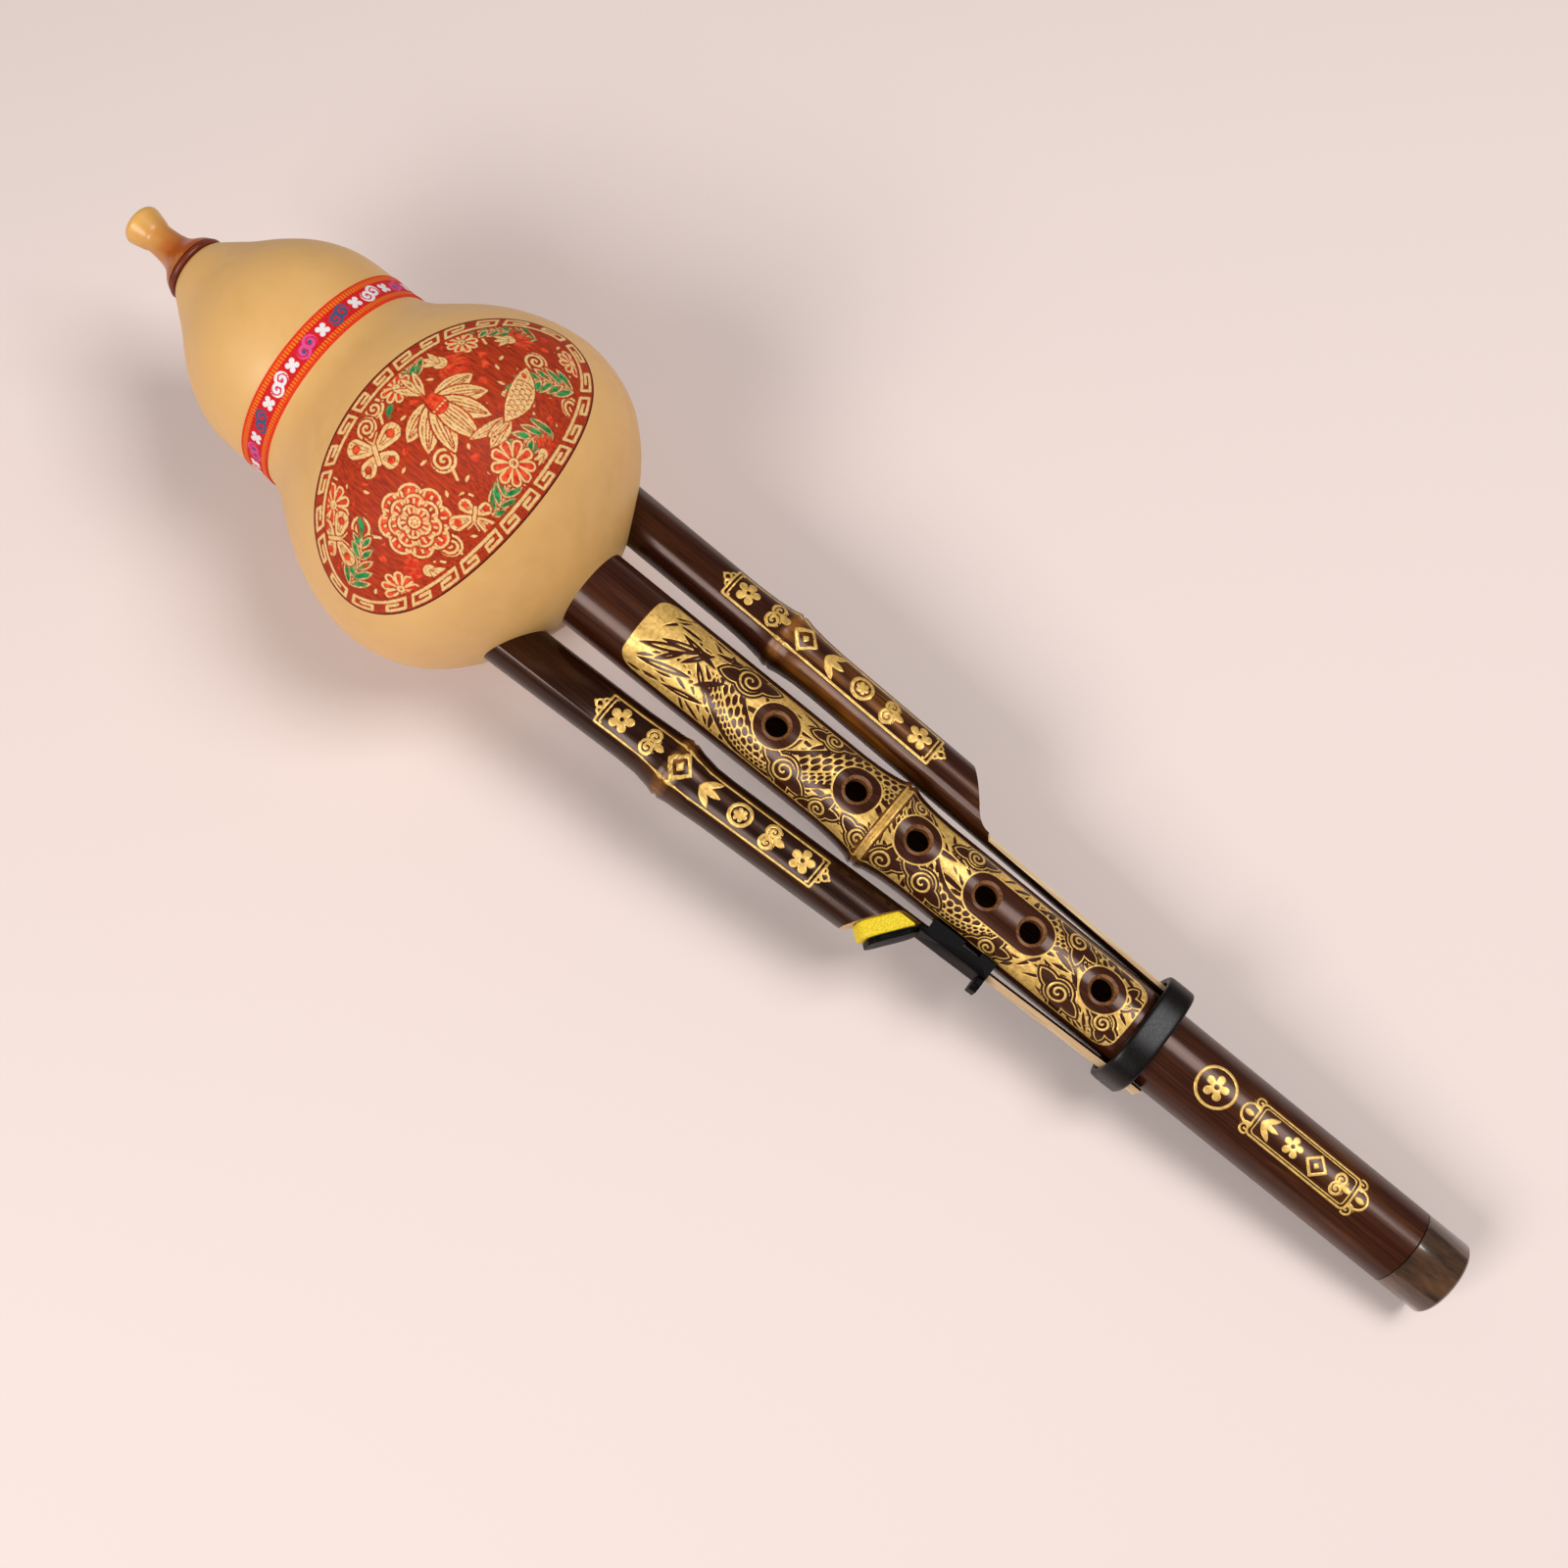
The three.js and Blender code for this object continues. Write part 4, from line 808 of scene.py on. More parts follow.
class HULUSI_OT_stage(bpy.types.Operator):
    """Sets the camera at the photograph's viewing angle, over a pale floor in soft light"""

    bl_idname = "hulusi.stage"
    bl_label = "Stage"

    # Directions in the camera's frame, and metres
    BOXES = {"box_left": (-0.241, -0.675, 1.0), "box_right": (0.26, 0.626, 1.0)}
    BOX_AWAY = 1.3
    BOX_SIZE = 0.55
    FLOOR_HALF = 2.5
    CLIP_START = 0.01
    DAYLIGHT = (1, 0.985, 0.97, 1)

    def execute(self, context):
        sizes = context.scene.hulusi_stage
        self.camera(context)
        self.floor(context, sizes)
        self.lights(context, sizes)
        context.scene.view_settings.view_transform = "Standard"
        return {"FINISHED"}

    def row_vector(self, vector):
        """A vector of the camera's frame, which is the instrument's rolled about its own axis."""
        x, y, n = vector
        c, s = math.cos(CAMERA_ROLL), math.sin(CAMERA_ROLL)
        y, z = y * c - n * s, y * s + n * c
        along, up = tilted(x, z)
        return np.array([along, y, up])

    def put(self, context, name, data, axes, place):
        """Links an object that stands at a place, its own axes along the given ones."""
        made = bpy.data.objects.new(name, data)
        made.matrix_world = Matrix(np.vstack([np.column_stack([*axes, place]), [0, 0, 0, 1]]).tolist())
        context.scene.collection.objects.link(made)
        return made

    def camera(self, context):
        """Right, up and back are the photograph's axes: the picture's own axes, with the pipe level, are
        nodded by a small angle and turned by the pipe's slope in the picture."""
        axis = np.array([CAMERA_TO_X, 0, 0]) - CAMERA_AT
        axis = axis / np.linalg.norm(axis)
        level = np.array([-axis[2], 0, axis[0]])
        down = np.array([0, -1.0, 0])
        look = axis * math.cos(CAMERA_NOD) + down * math.sin(CAMERA_NOD)
        down = down * math.cos(CAMERA_NOD) - axis * math.sin(CAMERA_NOD)
        c, s = math.cos(PHOTO_TURN), math.sin(PHOTO_TURN)
        right = level * c - down * s
        up = -(level * s + down * c)
        data = bpy.data.cameras.new("camera")
        data.sensor_width = SENSOR_WIDTH
        data.lens = SENSOR_WIDTH * PHOTO_FOCAL / PHOTO_SIDE
        data.clip_start = self.CLIP_START
        place = (self.row_vector(CAMERA_AT) + SHIFT) * MM
        axes = [self.row_vector(v) for v in (right, up, -look)]
        context.scene.camera = self.put(context, "camera", data, axes, place)

    def floor(self, context, sizes):
        """A flat square sheet under the object."""
        half = self.FLOOR_HALF
        corners = [(-half, -half, 0), (half, -half, 0), (half, half, 0), (-half, half, 0)]
        mesh = bpy.data.meshes.new("floor")
        mesh.from_pydata(corners, [], [(0, 1, 2, 3)])
        material, tree = new_material("pale floor")
        surface(tree, {"Base Color": toned(sizes.floor), "Roughness": 0.9, "Specular IOR Level": 0.2})
        mesh.materials.append(material)
        made = bpy.data.objects.new("floor", mesh)
        context.scene.collection.objects.link(made)

    def lights(self, context, sizes):
        """Two soft boxes, one to each side of the pipe and well off the camera's axis, so the gloss shows
        as two long streaks, with a weak even world between them."""
        for name, direction in self.BOXES.items():
            light = bpy.data.lights.new(name, "AREA")
            light.shape = "SQUARE"
            light.size = self.BOX_SIZE
            light.energy = sizes.key_power
            way = self.row_vector(direction)
            way = way / np.linalg.norm(way)
            side = np.cross([0, 0, 1.0], way)
            side = side / np.linalg.norm(side)
            self.put(context, name, light, [side, np.cross(way, side), way], way * self.BOX_AWAY)
        world = bpy.data.worlds.new("studio")
        world.use_nodes = True
        tree = world.node_tree
        tree.nodes.clear()
        add(tree, "OutputWorld", (
            add(tree, "Background", {"Color": self.DAYLIGHT, "Strength": sizes.world}),))
        context.scene.world = world


class HULUSI_OT_gourd(bpy.types.Operator):
    """Turns the gourd's smooth skin, flattened by a hair where it rests"""

    bl_idname = "hulusi.gourd"
    bl_label = "Gourd"

    KNOTS = 150
    INNER_EACH = 3
    SEGMENTS = 160
    # The neck's rounded rim, along and in, and the point at which the end closes
    RIM = [(0, 0.5), (0.2, 0.1)]
    POLE_R = 0.01

    def execute(self, context):
        """The outer curve, then the inner one: every third of its points moved in by the wall along the
        normal, as far as these stay outside the neck's hole and short of the end."""
        sizes = context.scene.hulusi_gourd
        neck = SPIGOT_R + FIT
        outer = gourd_curve(self.KNOTS)
        inner = outer[::-self.INNER_EACH]
        slope = np.gradient(inner, axis=0)
        slope = slope / np.hypot(*slope.T)[:, None]
        inner = inner + np.stack([-slope[:, 1], slope[:, 0]], -1) * GOURD_WALL
        end_x = GOURD_END_X - GOURD_WALL
        inner = inner[(inner[:, 1] > neck) & (inner[:, 0] < end_x)]
        rim = [(GOURD_X + along, NECK_R - inward) for along, inward in self.RIM]
        profile = np.vstack([
            [(GOURD_X, neck)], rim, outer[1:-1], [(GOURD_END_X, self.POLE_R), (end_x, self.POLE_R)], inner])
        turned_piece("gourd_skin", profile, self.SEGMENTS, gourd_varnish(sizes.skin),
                     ["gourd_shell"], 60)
        return {"FINISHED"}


class MedallionMotifs:
    """The medallion's flowers, fish and butterflies on a grid of p along and q round the gourd, in mm from
    its middle: a signed distance for each colour. Each motif is laid over what is under it with a gap of
    bare ground round it."""

    # Middle, then a turn in degrees. Daisies and fans have a size too, and clouds a hand and a start
    SPRAYS = [(-1, -45, 80), (12, 36, 215), (-4, 40, 200), (20, -6, 92), (-20, 15, 262), (17, 22, 240)]
    DAISIES = [
        (15.5, 8, 1.15, 0), (-14, -30, 1.05, 12), (6, 43, 0.8, 5), (-19, 4, 0.9, 8), (11, -37, 0.95, 0),
        (-15.5, 25, 0.8, 15)]
    FANS = [(-15, 16, 1.15, 20), (15, -28, 1.0, 190), (-8, 34, 0.95, 60), (19, 16, 0.8, 110)]
    PEONY = (6, -19)
    LOTUS = (-9, 6.5)
    FISH = (5.5, 22, 112)
    BUTTERFLIES = [(-11.5, -12, 1.0, 150), (16.5, -9, 0.75, 300), (-9, -36.5, 0.85, 40)]
    CLOUDS = [
        (-18, -9, 1, 0.0), (21, 5, 1, 3.0), (-16, 30, -1, 2.0), (15, 32, 1, 4.0), (-2, -40, 1, 1.5),
        (3, -3, -1, 0.5), (16, -19, -1, 1.0), (-4, -29, 1, 2.5), (-20, -4, -1, 1.0), (1, 33, 1, 0.0)]
    # Petals, radius, width and turn of each whorl
    WHORLS = [(8, 9.2, 6.4, 0), (7, 6.6, 5.2, 22), (5, 4.2, 4.0, 5)]
    # Turn and length of each petal, the farthest at the back first
    LOTUS_PETALS = [(78, 12), (-78, 12), (52, 13.5), (-52, 13.5), (26, 14.5), (-26, 14.5), (0, 15)]
    LOTUS_PETAL_WIDTH = 5.2
    # Foot along the body, turn, length and width
    FINS = [(-6.5, 196, 9.5, 3.4), (-6.5, 164, 9.5, 3.4), (-6.5, 180, 7.0, 2.4), (0.5, 118, 5.0, 3.0),
            (1.5, 238, 4.6, 2.6)]
    WINGS = [(-0.8, 128, 5.8, 4.4), (0.6, 62, 8.2, 5.2)]
    # The last small marks follow a sunflower's spiral: each a golden angle on, farther out by the root of
    # its number, up to an ellipse with these half axes
    MARKS = 150
    GOLDEN_ANGLE = 2.399963
    MARKS_ALONG = 21.5
    MARKS_AROUND = 45.8

    def __init__(self, p, q):
        self.p, self.q = p, q
        self.fields = {colour: np.full(p.shape, FAR) for colour in ("tan", "red", "green")}
        for at in self.SPRAYS:
            self.spray(*at)
        for at in self.DAISIES:
            self.daisy(*at)
        for at in self.FANS:
            self.fan(*at)
        self.peony(*self.PEONY)
        self.lotus(*self.LOTUS)
        self.fish(*self.FISH)
        for at in self.BUTTERFLIES:
            self.butterfly(*at)
        for at in self.CLOUDS:
            self.cloud(*at)
        self.marks()

    def lay(self, colour, shape, gap=0.45):
        """Lays a shape in a colour over all that is drawn, with its gap."""
        for name in self.fields:
            self.fields[name] = np.maximum(self.fields[name], gap - shape)
        self.fields[colour] = np.minimum(self.fields[colour], shape)

    def carve(self, line):
        """Cuts a line through what is light, down to the ground."""
        self.fields["tan"] = np.maximum(self.fields["tan"], -line)

    def scatter(self, colour, shape, room):
        """Adds a shape where it keeps room to all that is drawn."""
        taken = union(*self.fields.values())
        self.fields[colour] = scattered(self.fields[colour], shape, taken, room)

    def spray(self, cp, cq, turn):
        """A bending stem with paired narrow leaves, brushed green between light edges."""
        p, q = self.p, self.q
        step, bend = 3.0, 9
        for k in range(5):
            c, s = math.cos(math.radians(turn)), math.sin(math.radians(turn))
            self.lay("tan", bar(p, q, cp, cq, cp + step * c, cq + step * s, 0.3), 0.2)
            for lean in (-38, 38):
                leaf = petal(p, q, cp, cq, turn + lean, 6.6 - 0.6 * k, 1.9 - 0.1 * k)
                self.lay("tan", leaf - 0.1, 0.25)
                self.lay("green", leaf + 0.28, 0)
            cp, cq = cp + step * c, cq + step * s
            turn += bend
        self.lay("green", petal(p, q, cp, cq, turn, 4.5, 1.5), 0.3)

    def daisy(self, cp, cq, size, turn):
        """Nine petals, red within light rims, round a light heart."""
        petals = flower(self.p, self.q, cp, cq, 9, 5.0 * size, 2.1 * size, turn)
        self.lay("tan", petals - 0.2)
        self.lay("red", petals + 0.35, 0)
        self.lay("tan", disc(self.p, self.q, cp, cq, 1.1 * size), 0.25)

    def fan(self, cp, cq, size, turn):
        """A thistle head: seven red rays out of a light cup, the middle one longest."""
        for k in range(-3, 4):
            length = (7.4 - abs(k) * 0.5) * size
            self.lay("red", petal(self.p, self.q, cp, cq, turn + k * 17, length, 1.3 * size), 0.25)
        self.lay("tan", disc(self.p, self.q, cp, cq, 1.7 * size), 0.3)
        for lean in (-150, 180, 150):
            self.lay("tan", petal(self.p, self.q, cp, cq, turn + lean, 4.2 * size, 1.2 * size), 0.2)

    def peony(self, cp, cq):
        """Three whorls of broad petals, red within light rims, veined, round a spotted heart."""
        p, q = self.p, self.q
        for petals, radius, width, turn in self.WHORLS:
            whorl = flower(p, q, cp, cq, petals, radius, width, turn)
            self.lay("tan", whorl, 0.5)
            self.lay("red", whorl + 0.6, 0)
            veins = flower(p, q, cp, cq, petals * 3, radius * 0.86, 0.62, turn)
            self.lay("tan", overlap(veins, -disc(p, q, cp, cq, radius * 0.5)), 0.12)
        self.lay("tan", disc(p, q, cp, cq, 1.5), 0.35)
        for angle in even_angles(6):
            self.lay("red", disc(p, q, cp + 0.8 * math.cos(angle), cq + 0.8 * math.sin(angle), 0.26), 0)

    def lotus(self, cp, cq):
        """A lotus from the side: pointed petals fan out of a seed cup, each with three veins."""
        p, q = self.p, self.q
        for turn, length in self.LOTUS_PETALS:
            leaf = petal(p, q, cp, cq, turn, length, self.LOTUS_PETAL_WIDTH)
            self.lay("tan", leaf, 0.5)
            a, b = turned_by(p, q, cp, cq, turn)
            for off in (-0.9, 0, 0.9):
                bend = off * np.sin(np.clip(a / length, 0, 1) * math.pi)
                self.carve(overlap(outline(b - bend, 0.16), leaf + 0.5, 4.5 - a))
        self.lay("red", drop(p, q, cp - 3.2, cq, 0, 7.4, 4.6), 0.4)
        for k in range(-2, 3):
            self.lay("tan", disc(p, q, cp + 2.6, cq + k * 0.95, 0.3), 0)
        for turn in (205, 180, 155):
            self.lay("tan", petal(p, q, cp - 2.4, cq, turn, 8.5, 1.8), 0.3)

    def fish(self, cp, cq, turn):
        """A carp that curves round, with scales, ribbed fins and a long forked tail."""
        a, b = turned_by(self.p, self.q, cp, cq, turn)
        b = b - 0.02 * a * a
        for foot, lean, length, width in self.FINS:
            fin = petal(a, b, foot, 0, lean, length, width)
            self.lay("tan", fin, 0.35)
            fa, fb = turned_by(a, b, foot, 0, lean)
            self.carve(overlap(ribs(fb, 0.7, 0.13), fin + 0.35, 1.8 - fa))
        body = petal(a, b, -8.0, 0, 0, 16.5, 6.2)
        self.lay("tan", body, 0.5)
        along, across = staggered(a, b, 1.6, 1.25)
        self.carve(overlap(ring(along, across, -0.3, 0, 0.72, 0.15), body + 0.45, a - 3.6))
        gill = a - 4.3 + b * b * 0.09
        self.carve(overlap(outline(gill, 0.2), body + 0.4))
        self.lay("red", disc(a, b, 5.9, 0.5, 0.5), 0.25)

    def butterfly(self, cp, cq, size, turn):
        """Two pairs of wings with ribs and a spot, a banded body and curled feelers."""
        a, b = turned_by(self.p, self.q, cp, cq, turn)
        b = np.abs(b)
        for foot, lean, length, width in self.WINGS:
            wing = drop(a, b, foot * size, 0.3, lean, length * size, width * size)
            self.lay("tan", wing, 0.35)
            fa, fb = turned_by(a, b, foot * size, 0.3, lean)
            for fold in (-0.26, 0, 0.26):
                self.carve(overlap(outline(fb - fold * fa, 0.13), wing + 0.3, 1.6 * size - fa))
            self.lay("red", disc(fa, fb, length * size * 0.66, 0, width * size * 0.2), 0.2)
        self.lay("tan", bar(a, b, -2.8 * size, 0, 2.2 * size, 0, 0.55 * size), 0.3)
        self.lay("tan", bar(a, b, 2.2 * size, 0, 4.8 * size, 1.8 * size, 0.18), 0.12)

    def cloud(self, cp, cq, hand, start):
        """A small scroll with a tail."""
        scroll = spiral(self.p, self.q, cp, cq, 1.5, 1.8, 0.34, start, hand)
        tail = bar(self.p, self.q, cp + 2.4, cq, cp + 5.2, cq + 1.5 * hand, 0.34)
        self.scatter("tan", union(scroll, tail), 0.5)

    def marks(self):
        """Two light flecks to each red dot, wherever the ground is still bare."""
        for k in range(self.MARKS):
            angle = k * self.GOLDEN_ANGLE
            radius = math.sqrt((k + 2) / (self.MARKS + 3))
            cp = self.MARKS_ALONG * radius * math.cos(angle)
            cq = self.MARKS_AROUND * radius * math.sin(angle)
            if k % 3:
                self.scatter("tan", petal(self.p, self.q, cp - 0.8, cq, 40 * (k % 9), 1.9, 0.75), 0.9)
            else:
                self.scatter("red", disc(self.p, self.q, cp, cq, 0.9), 1.05)


class HULUSI_OT_medallion(bpy.types.Operator):
    """Lays the burnt and coloured medallion on the belly, with a meander round a generic flower design"""

    bl_idname = "hulusi.medallion"
    bl_label = "Medallion"

    HALF_ALONG = 27.2
    HALF_AROUND = 51.5
    CENTRE_X = 116.4
    CENTRE_DEG = -9.5
    # Past the edge, the grid goes on by the first and the sheet by the second
    GRID_MARGIN = 0.6
    SHEET_MARGIN = 0.5
    SLOPE = 0.5
    SUNK = -0.25
    PROUD = 0.05
    BORDER = 5.1
    BORDER_GAP = 0.5
    # The dark line round the edge
    RIM_IN = 0.2
    RIM_HALF = 0.32
    MEANDER_REPEATS = 28
    MEANDER_OFF_EDGE = 1.4
    MEANDER_DEEP = 2.8
    MEANDER_HALF = 0.45
    MEANDER_SHARES = [(0, 1.0), (0.86, 1.0), (0.86, 0.0), (0.24, 0.0), (0.24, 0.54), (0.6, 0.54)]

    def execute(self, context):
        sizes = context.scene.hulusi_gourd
        p, q = drawing_grid(
            -self.HALF_ALONG, self.HALF_ALONG, self.HALF_AROUND, self.GRID_MARGIN, self.GRID_MARGIN,
            sizes.medallion_step)
        edge = self.ellipse(p, q)
        field = edge + self.BORDER + self.BORDER_GAP
        values = {name: np.maximum(drawn, field) for name, drawn in MedallionMotifs(p, q).fields.items()}
        values["tan"] = np.minimum(self.meander(p, q, edge), values["tan"])
        values["dark"] = outline(edge + self.RIM_IN, self.RIM_HALF)
        lift = np.clip(-edge * self.SLOPE, self.SUNK, self.PROUD)
        arc = gourd_arc_at(self.CENTRE_X) + p
        points = on_gourd(arc, math.radians(self.CENTRE_DEG) + q / BELLY_R, lift)
        sheet("medallion", points, edge, self.SHEET_MARGIN, medallion_stain(sizes.skin, sizes.burnt),
              {name: drawn.ravel() for name, drawn in values.items()})
        return {"FINISHED"}

    def ellipse(self, p, q):
        """Distance to the medallion's edge: k (k - 1) / |gradient| with k = |(p / a, q / b)|."""
        a, b = self.HALF_ALONG, self.HALF_AROUND
        k = np.hypot(p / a, q / b)
        return k * (k - 1) / np.maximum(np.hypot(p / a**2, q / b**2), TINY)

    def meander(self, p, q, edge):
        """Square scrolls in a band round the edge, in shares of one repeat along and across the band. Every
        other one is mirrored."""
        a, b = self.HALF_ALONG, self.HALF_AROUND
        t = np.linspace(0, FULL_TURN, 721)
        lengths = lengths_along(np.stack([a * np.cos(t), b * np.sin(t)], -1))
        unit = lengths[-1] / self.MEANDER_REPEATS
        u = np.interp(np.arctan2(q / b, p / a) % FULL_TURN, t, lengths)
        count = np.floor(u / unit)
        u = u - count * unit
        u = np.where(count % 2 == 0, u, unit - u)
        corners = [(x * unit, y * self.MEANDER_DEEP) for x, y in self.MEANDER_SHARES]
        return path(u, -edge - self.MEANDER_OFF_EDGE, corners, self.MEANDER_HALF)


class HULUSI_OT_ribbon(bpy.types.Operator):
    """Wraps the woven ribbon round the waist, its ends lapped at the back"""

    bl_idname = "hulusi.ribbon"
    bl_label = "Waist ribbon"

    LAP = 7.0
    # The upper end starts to rise this many laps before its tip, and takes this many to do so
    RISE_FROM = 1.7
    RISE_IN = 0.5
    LAP_PLAY = 0.1
    STATIONS = 860
    ACROSS = 41
    # The woven edge rolls down by this much over the last half millimetre
    ROLL = 0.12
    ROLL_WIDTH = 0.5
    # The ribbon's height off the skin, and how far its underside lies below that
    SEAT = 0.05
    PRESSED = 0.02
    REPEAT = 11.4
    BLOSSOM = {"petals": 4, "radius": 1.85, "width": 1.45, "degrees": 45}
    EYE_R = 0.55
    SCROLL_AT = (1.35, -0.3)
    SCROLL = {"pitch": 1.6, "turns": 0.95, "half": 0.42}
    CORD_PITCH = 0.9
    CORD_HALF = 0.2
    CORDS_AT = 3.0
    CORDS_HALF = 0.65

    def execute(self, context):
        """Two faces and the rim between them, carried along the way s round the waist and the way w across
        the ribbon."""
        middle = gourd_arc_at(RIBBON_X)
        r_middle = np.interp(middle, GOURD_ARC, GOURD_CURVE[:, 1])
        length = FULL_TURN * r_middle + self.LAP
        along = np.linspace(-length / 2, length / 2, self.STATIONS)
        across = np.linspace(-RIBBON_WIDTH / 2, RIBBON_WIDTH / 2, self.ACROSS)
        s, w = np.meshgrid(along, across, indexing="ij")
        lapping = np.clip((s - length / 2 + self.LAP * self.RISE_FROM) / (self.LAP * self.RISE_IN), 0, 1)
        rise = self.SEAT + (RIBBON_THICKNESS + self.LAP_PLAY) * lapping
        rolled = self.ROLL * np.clip((RIBBON_WIDTH / 2 - np.abs(w)) / self.ROLL_WIDTH, 0, 1) ** 0.5
        angle = s / r_middle
        top = on_gourd(middle + w, angle, rise + RIBBON_THICKNESS - self.ROLL + rolled)
        bottom = on_gourd(middle + w, angle, rise - self.PRESSED)
        number = np.arange(s.size).reshape(s.shape)
        rim = np.concatenate([number[0], number[1:, -1], number[-1, -2::-1], number[-2:0:-1, 0]])
        follow = np.roll(rim, -1)
        sides = np.stack([rim, follow, follow + s.size, rim + s.size], -1)
        faces = [grid_faces(*s.shape), grid_faces(*s.shape, first=s.size)[:, ::-1], sides]
        drawing = {**self.drawing(s, w), "along": s, "across": w}
        values = {name: np.concatenate([v.ravel()] * 2) for name, v in drawing.items()}
        piece("waist_ribbon_woven", np.vstack([top.reshape(-1, 3), bottom.reshape(-1, 3)]), faces,
              [woven_ribbon()], BODY, ["waist_ribbon"], 50, attributes=values)
        return {"FINISHED"}

    def drawing(self, s, w):
        """White four-petal flowers with scrolls between them, blue, white and pink in turn, and yellow cords
        along both edges. u is the way from the nearest flower, v from the middle between two."""
        count = np.floor(s / self.REPEAT)
        u = s - self.REPEAT * np.round(s / self.REPEAT)
        v = s - (count + 0.5) * self.REPEAT
        at, aside = self.SCROLL_AT
        scroll = union(spiral(v, w, -at, -aside, **self.SCROLL),
                       spiral(v, w, at, aside, **self.SCROLL, start=math.pi))
        seeds = union(disc(v, w, -at, -aside, self.EYE_R), disc(v, w, at, aside, self.EYE_R))
        blue_one, white_one, pink_one = [np.where(count % 3 == kind, scroll, FAR) for kind in range(3)]
        seeds_in_white, seeds_in_pink = [np.where(count % 3 == kind, seeds, FAR) for kind in (1, 2)]
        return {
            "white": union(flower(u, w, 0, 0, **self.BLOSSOM), white_one),
            "blue": union(blue_one, seeds_in_pink),
            "pink": union(disc(u, w, 0, 0, self.EYE_R), pink_one, seeds_in_white),
            "yellow": overlap(ribs(s, self.CORD_PITCH, self.CORD_HALF),
                              outline(np.abs(w) - self.CORDS_AT, self.CORDS_HALF))}


class HULUSI_OT_mouthpiece(bpy.types.Operator):
    """Turns the mouthpiece and the collar under it"""

    bl_idname = "hulusi.mouthpiece"
    bl_label = "Mouthpiece"

    # Two points of the tip's flat face, in from the waist's radius
    TIP_IN = (0.8, 0.3)
    # The bore's rounded lip: along from the tip, and out from the bore
    LIP = [(0.5, 0), (0.12, 0.12), (0, 0.5)]
    KNOTS = 90
    SEGMENTS = 96
    RIM_POINTS = 13

    def execute(self, context):
        bead = MOUTH_TIP_R - MOUTH_WAIST_R
        outer = through([
            *knots_from(BEAD_SHARES, 0, bead, MOUTH_WAIST_R, bead),
            *knots_from(FLARE_SHARES, 0, MOUTHPIECE_LENGTH, MOUTH_WAIST_R, MOUTH_BASE_R - MOUTH_WAIST_R)],
            self.KNOTS)
        end = MOUTHPIECE_LENGTH + SPIGOT_LENGTH
        profile = np.vstack([
            [(along, MOUTH_BORE_R + out) for along, out in self.LIP],
            [(0, MOUTH_WAIST_R - inward) for inward in self.TIP_IN], outer[1:],
            [(MOUTHPIECE_LENGTH, SPIGOT_R), (end, SPIGOT_R), (end, MOUTH_BORE_R)]])
        turned_piece("mouthpiece_turned", profile, self.SEGMENTS, amber_resin(),
                     ["mouthpiece"], 40)
        half = COLLAR_THICKNESS / 2
        bulge = np.linspace(-math.pi / 2, math.pi / 2, self.RIM_POINTS)
        rim = np.stack([COLLAR_X + half + half * np.sin(bulge), COLLAR_R - half + half * np.cos(bulge)], -1)
        hole = SPIGOT_R + FIT
        profile = np.vstack([[[COLLAR_X, hole]], rim, [[COLLAR_X + COLLAR_THICKNESS, hole]]])
        resin = grained("dark red-brown resin, polished")
        turned_piece("collar_turned", profile, self.SEGMENTS, resin,
                     ["mouthpiece_collar"], 50)
        return {"FINISHED"}


